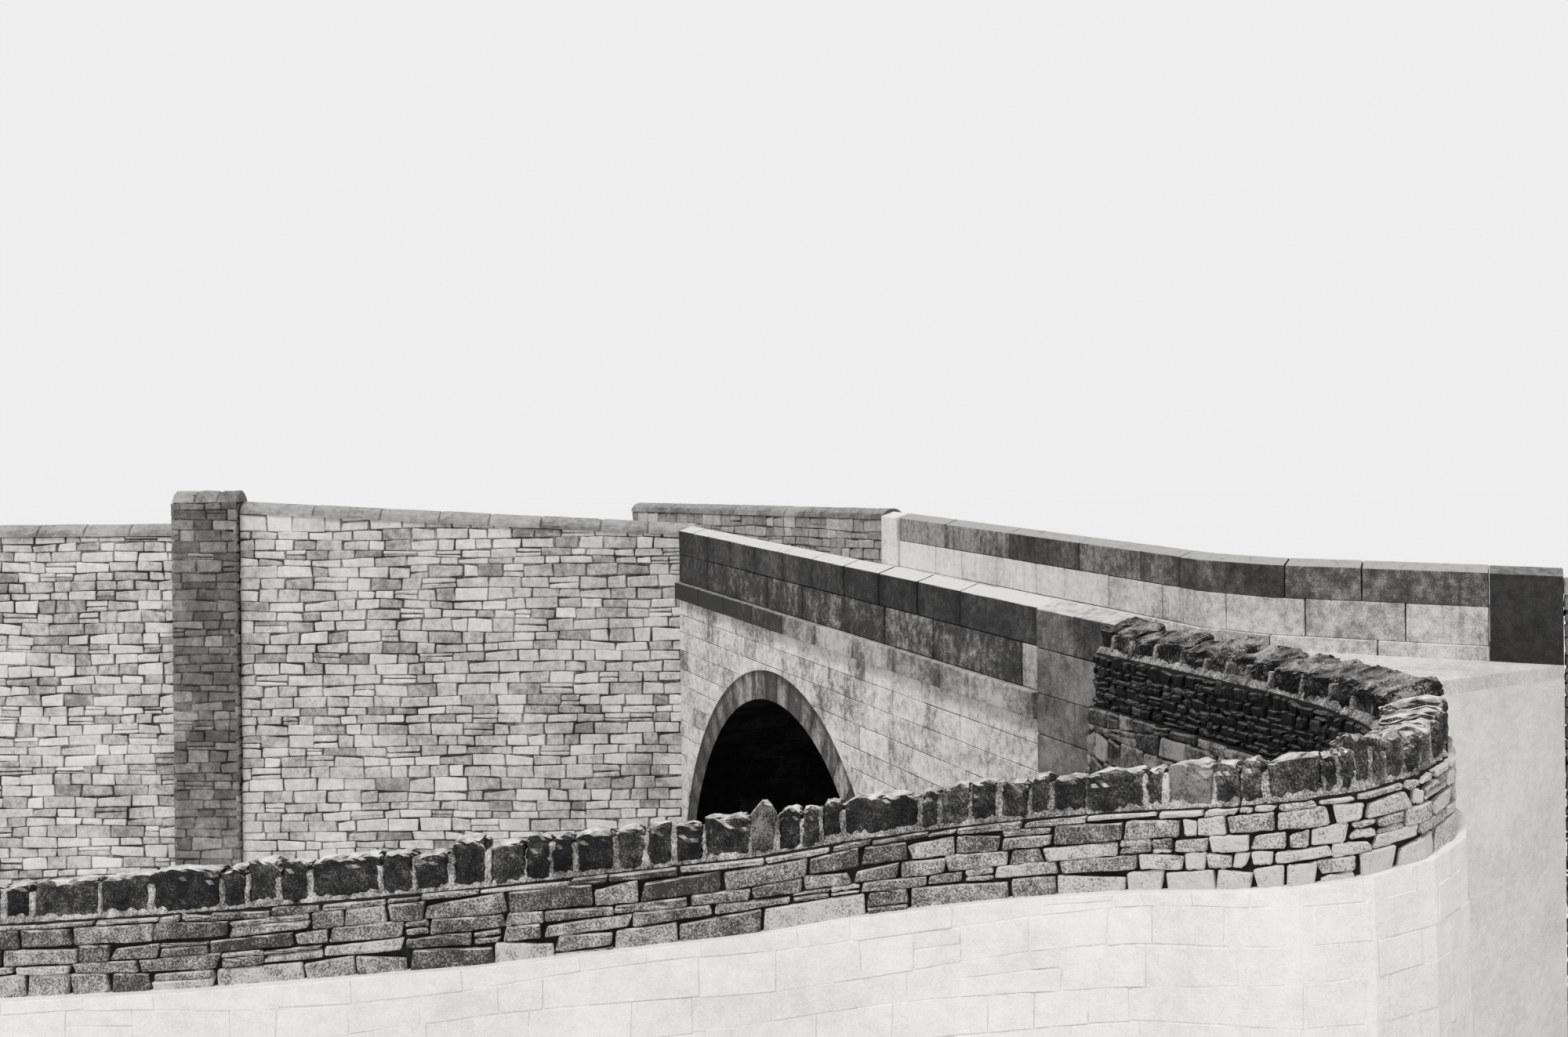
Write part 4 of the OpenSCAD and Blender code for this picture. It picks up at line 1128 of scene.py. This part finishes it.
def lane_base():
    out, rng = Masonry(), random_for("lane_wall_base")

    def keep(pts):
        ground = -crest(pts[:, 0])
        return None if pts[:, 1].max() < ground.min() + SLIVER else cut_stone(pts, ground)

    lane_side = dict(joint=0.008, bevel=0.003, rough=0.003, skew=0.010, wander=0.05,
                     split=0.08, back=0.08)
    river_side = dict(joint=0.010, bevel=0.018, rough=0.012, skew=0.02, wander=0.05, split=0.2,
                      columns=4, rows=3, back=0.08, slant=0.3, wedge=0.3, kind=2)
    for side, lay, length, course in ((1, lane_side, (0.3, 0.8), 0.2),
                                      (-1, river_side, (0.22, 0.52), 0.19)):
        place = placer(lane, below_crest, base_half, side)
        beds = beds_up(rng, -crest_start, -LANE_H, course, 0.3)
        course_face(out, rng, place, 0.0, END, beds, length, keep=keep, tone=0.25, **lay)
    # Pale flush joints and ledge on the lane's side, deep dark ones on the river's
    for side, depth, kind in ((1, 0.008, 3), (-1, 0.042, 1)):
        half = lambda z: (base_half(z) - depth) / 2
        core(out, lane, 0.0, END - JOINT_DEPTH, steady(0.0), crest_less(LANE_H), half, 0.0,
             kind, middle=lambda z: side * half(z))
    widest = float(base_half(0.0))

    def battered(pts):
        """The end's stones narrow upwards with the wall."""
        pts = pts.copy()
        pts[:, 0] = widest + (pts[:, 0] - widest) * base_half(pts[:, 1]) / widest
        return pts

    end_face(out, rng, lane, END, 1, widest, crest_less(LANE_H)(END), 0.17,
             {**river_side, "keep": battered})
    out.piece("lane_wall_base", "lane_stone",
              [FOOTING_STONE, LANE_JOINT, RIVER_SIDE, FOOTING_JOINT])


lane_base()


def cope_stones(node, s_from, s_to, rhythm=(), slant=0.0, rough=0.018, tall=0.0, bias=0.0,
                stone=COPE, jagged=0.010, slope=0.28, deep=0.045, peaks=()):
    """Rough upright blocks set in lime mortar along the crest; their tops fall towards the
    river. rhythm gives their lengths in turn, and without one they are random; peaks gives
    how far a block, by its number, rises to a point."""
    out, rng = Masonry(), random_for(node + "_stones")
    place = placer(lane, below_crest)
    beat = itertools.cycle(rhythm)
    step = lambda s: next(beat) if rhythm else rng.uniform(0.25, 0.6)
    for k, (s, end) in enumerate(laid(s_from, s_to, step, 0.12)):
        gap = min(rng.uniform(0.010, 0.040), 0.17 * (end - s))
        a0, a1 = s + gap / 2, end - gap / 2
        top = tall + rng.uniform(-0.025 - jagged, 0.015) + (0.04 if rng.uniform() < 0.08 else 0.0)
        low = -COPE_H + rng.uniform(0.004, 0.02)
        wide = COPE_W / 2 - rng.uniform(0.0, 0.012)
        cells = (max(6, int((a1 - a0) / 0.032)), 10, 9)
        pts, faces = block(rng, (a0, low, -wide), (a1, top, wide), cells,
                           min(0.022, (a1 - a0) * 0.2), 0.0, 0.010)
        u, v = (pts[:, 0] - a0) / (a1 - a0), (pts[:, 1] - low) / (top - low)
        # Both faces are split, the crown and the shoulders knocked off
        face = np.abs(pts[:, 2]) > wide * 0.85
        relief = lumps(rng, pts[:, 0], pts[:, 1], 0.12) * 0.5 + rng.normal(0, 0.25, len(pts))
        split_face = facets(rng, pts[:, 0] - a0, pts[:, 1] - low, a1 - a0, top - low, slope)
        pts[:, 2] -= np.sign(pts[:, 2]) * face * np.clip(split_face + relief * rough, 0.0, deep)
        crown = np.interp(pts[:, 2], [-wide, 0.08, wide - 0.06, wide], [0.10, 0.0, 0.0, 0.02])
        jag = lumps(rng, pts[:, 0], pts[:, 2], 0.2) * jagged + rng.normal(0, 0.004, len(pts))
        shoulders = rng.uniform(0.008, 0.035, 2)
        side_low = np.interp(u, [0, 0.18, 0.82, 1], [shoulders[0], 0, 0, shoulders[1]])
        point = dict(peaks).get(k, 0.0) * (1 - np.abs(2 * u - 1))
        pts[:, 1] -= np.clip(v * 3 - 2, 0, 1) * (crown + side_low + jag - point)
        pts[:, 0] += rng.normal(0, 0.007, len(pts)) * (np.abs(u - 0.5) > 0.4)
        pts[:, 0] += (pts[:, 1] - low) * rng.normal(slant, 0.035 + slant * 0.3)
        pts[:, 0] = np.clip(pts[:, 0], s_from + 0.002, s_to - 0.002)
        # Lime smeared over the blocks' rims
        rim = np.minimum(np.minimum(u, 1 - u) * (a1 - a0), (1 - v) * (top - low))
        limed = 0.4 * np.clip(1 - rim / 0.03, 0, 1) * rng.uniform(0, 1, len(pts))
        own = tone_of(rng, 0.19) - 0.16 + bias * (s - s_from) / (s_to - s_from)
        out.add(place(pts), faces, own + limed)
        if end < s_to:
            m0 = end - gap / 2 - rng.uniform(0.004, 0.016)
            m1 = end + gap / 2 + rng.uniform(0.004, 0.016)
            proud = COPE_W / 2 - rng.uniform(0.018, 0.034)
            high = rng.uniform(-0.10, -0.03) - 2 * (jagged - 0.01)
            pts, faces = block(rng, (m0, -COPE_H + 0.002, -proud), (m1, high, proud),
                               (4, 12, 4), 0.010, 0.004, 0.006)
            up = pts[:, 1] + COPE_H
            pts[:, 0] += up * slant + lumps(rng, pts[:, 1], pts[:, 2], 0.1) * 0.006
            river_side = np.interp(pts[:, 2], [-proud, 0.08], [0.09, 0.0])
            pts[:, 1] -= np.clip(up * 6 - 1, 0, 1) * river_side
            out.add(place(pts), faces, tone_of(rng), 1)
    # The mortar bed under the blocks, uneven along both faces
    s0, s1 = s_from + 0.01, s_to - 0.01
    cuts = np.linspace(s0, s1, max(8, int((s_to - s_from) / 0.03)))
    bed = -COPE_H + 0.002
    rings = []
    for q in sorted({*cuts, *stations(lane, s0, s1)}):
        w, v = COPE_W / 2 + np.clip(rng.normal(-0.024, 0.009, 2), -0.04, -0.002)
        h = rng.uniform(0.004, 0.020)
        xy = lane.at(np.full(6, q), [-v, w, w - 0.004, w - 0.04, 0.04 - v, 0.004 - v])
        b = np.array([bed, bed, bed + h, bed + 0.06, bed + 0.06, bed + h])
        rings.append(np.column_stack([xy, crest(q) + b]) - DATUM)
    out.loft(rings)
    out.piece(node, "lane_cope", [stone, COPE_MORTAR])


# Lengths of the cope stones round the corner, then from the corner to the wall's end
CORNER_RHYTHM = (0.13, 0.11, 0.12, 0.11, 0.11, 0.11, 0.12, 0.08, 0.09, 0.07, 0.08, 0.30, 0.14)
FRONT_RHYTHM = (0.17, 0.34, 0.15, 0.42, 0.27, 0.15, 0.22, 0.22, 0.22, 0.15, 0.56, 0.16, 0.14,
                0.18, 0.19, 0.32, 0.21, 0.19, 0.21, 0.28, 0.17, 0.17, 0.27, 0.25, 0.25, 0.24,
                0.50, 0.22, 0.22, 0.18, 0.54, 0.39, 0.53, 0.23, 0.30)
cope_stones("return_cope", 0.0, CORNER, slant=0.35, rough=0.035, tall=0.03, stone=RETURN_COPE,
            jagged=0.03, slope=0.5, deep=0.07)
cope_stones("corner_cope", CORNER, FRONT, CORNER_RHYTHM, slant=0.05, bias=0.2, jagged=0.016,
            slope=0.35)
cope_stones("front_cope", FRONT, END, FRONT_RHYTHM, bias=-0.35, jagged=0.014,
            peaks={14: 0.07})

# CAD nodes that stay
for node_name, material in (("road_fill", EARTH), ("carriageway", GRAVEL)):
    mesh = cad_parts[node_name].data
    mesh.materials.clear()
    mesh.materials.append(material)

# Floor
FLOOR_HALF, FLOOR_GREY = 400.0, 0.82
pale = bpy.data.materials.new("pale_floor")
pale.use_nodes = True
shader = pale.node_tree.nodes["Principled BSDF"]
shader.inputs["Base Color"].default_value = (FLOOR_GREY, FLOOR_GREY, FLOOR_GREY, 1)
shader.inputs["Roughness"].default_value = 1.0
floor_mesh = bpy.data.meshes.new("floor")
floor_mesh.from_pydata([(x * FLOOR_HALF, y * FLOOR_HALF, 0)
                        for x, y in ((-1, -1), (1, -1), (1, 1), (-1, 1))], [], [(0, 1, 2, 3)])
floor_mesh.materials.append(pale)
floor = add_object("floor", floor_mesh)

# Sky: the camera sees another grey than the one that lights the stone
SKY, SKY_STRENGTH, BACKDROP = (1.0, 1.0, 1.0, 1), 0.62, (0.86, 0.86, 0.86, 1)
world = bpy.data.worlds.new("studio")
bpy.context.scene.world = world
sky = Nodes(world)
ray = sky.add("ShaderNodeLightPath")
seen = sky.calc("MAXIMUM", ray["Is Camera Ray"], ray["Is Glossy Ray"])
light = sky.add("ShaderNodeBackground", {"Color": SKY, "Strength": SKY_STRENGTH})[0]
shown = sky.add("ShaderNodeBackground", {"Color": BACKDROP})[0]
mixed = sky.add("ShaderNodeMixShader", {0: seen, 1: light, 2: shown})[0]
sky.add("ShaderNodeOutputWorld", {0: mixed})


def aim(thing, x, y, z, place=(0, 0, 0)):
    """Turns an object's own axes along three directions and sets it in its place."""
    thing.matrix_world = Matrix([[x[k], y[k], z[k], place[k]] for k in range(3)] + [[0, 0, 0, 1]])


# Light from the camera's side, high up
KEY_FROM = np.array([0.55, -0.75, 1.5])
lamp = bpy.data.lights.new("key", "SUN")
lamp.energy = 1.5
lamp.angle = math.radians(12)
to_sun = KEY_FROM / np.linalg.norm(KEY_FROM)
across = np.cross([0, 0, 1.0], to_sun)
across /= np.linalg.norm(across)
aim(add_object("key", lamp), across, np.cross(to_sun, across), to_sun)

# Camera, where the photo was taken from
EYE = np.array([24.3644, -9.1895, 8.0713])
AZIMUTH, ROLL = math.radians(68.8287), 0.0094
lens = bpy.data.cameras.new("camera")
lens.sensor_width = 36.0
lens.lens = 39.6
lens.shift_y = -0.0312
lens.clip_end = 2000
camera = add_object("camera", lens)
right = np.array([math.cos(AZIMUTH), math.sin(AZIMUTH), 0])
back = np.array([math.sin(AZIMUTH), -math.cos(AZIMUTH), 0])
up = np.array([0, 0, 1.0])
aim(camera, right * math.cos(ROLL) - up * math.sin(ROLL),
    right * math.sin(ROLL) + up * math.cos(ROLL), back, EYE - DATUM)
bpy.context.scene.camera = camera
bpy.context.scene.view_settings.view_transform = "Standard"
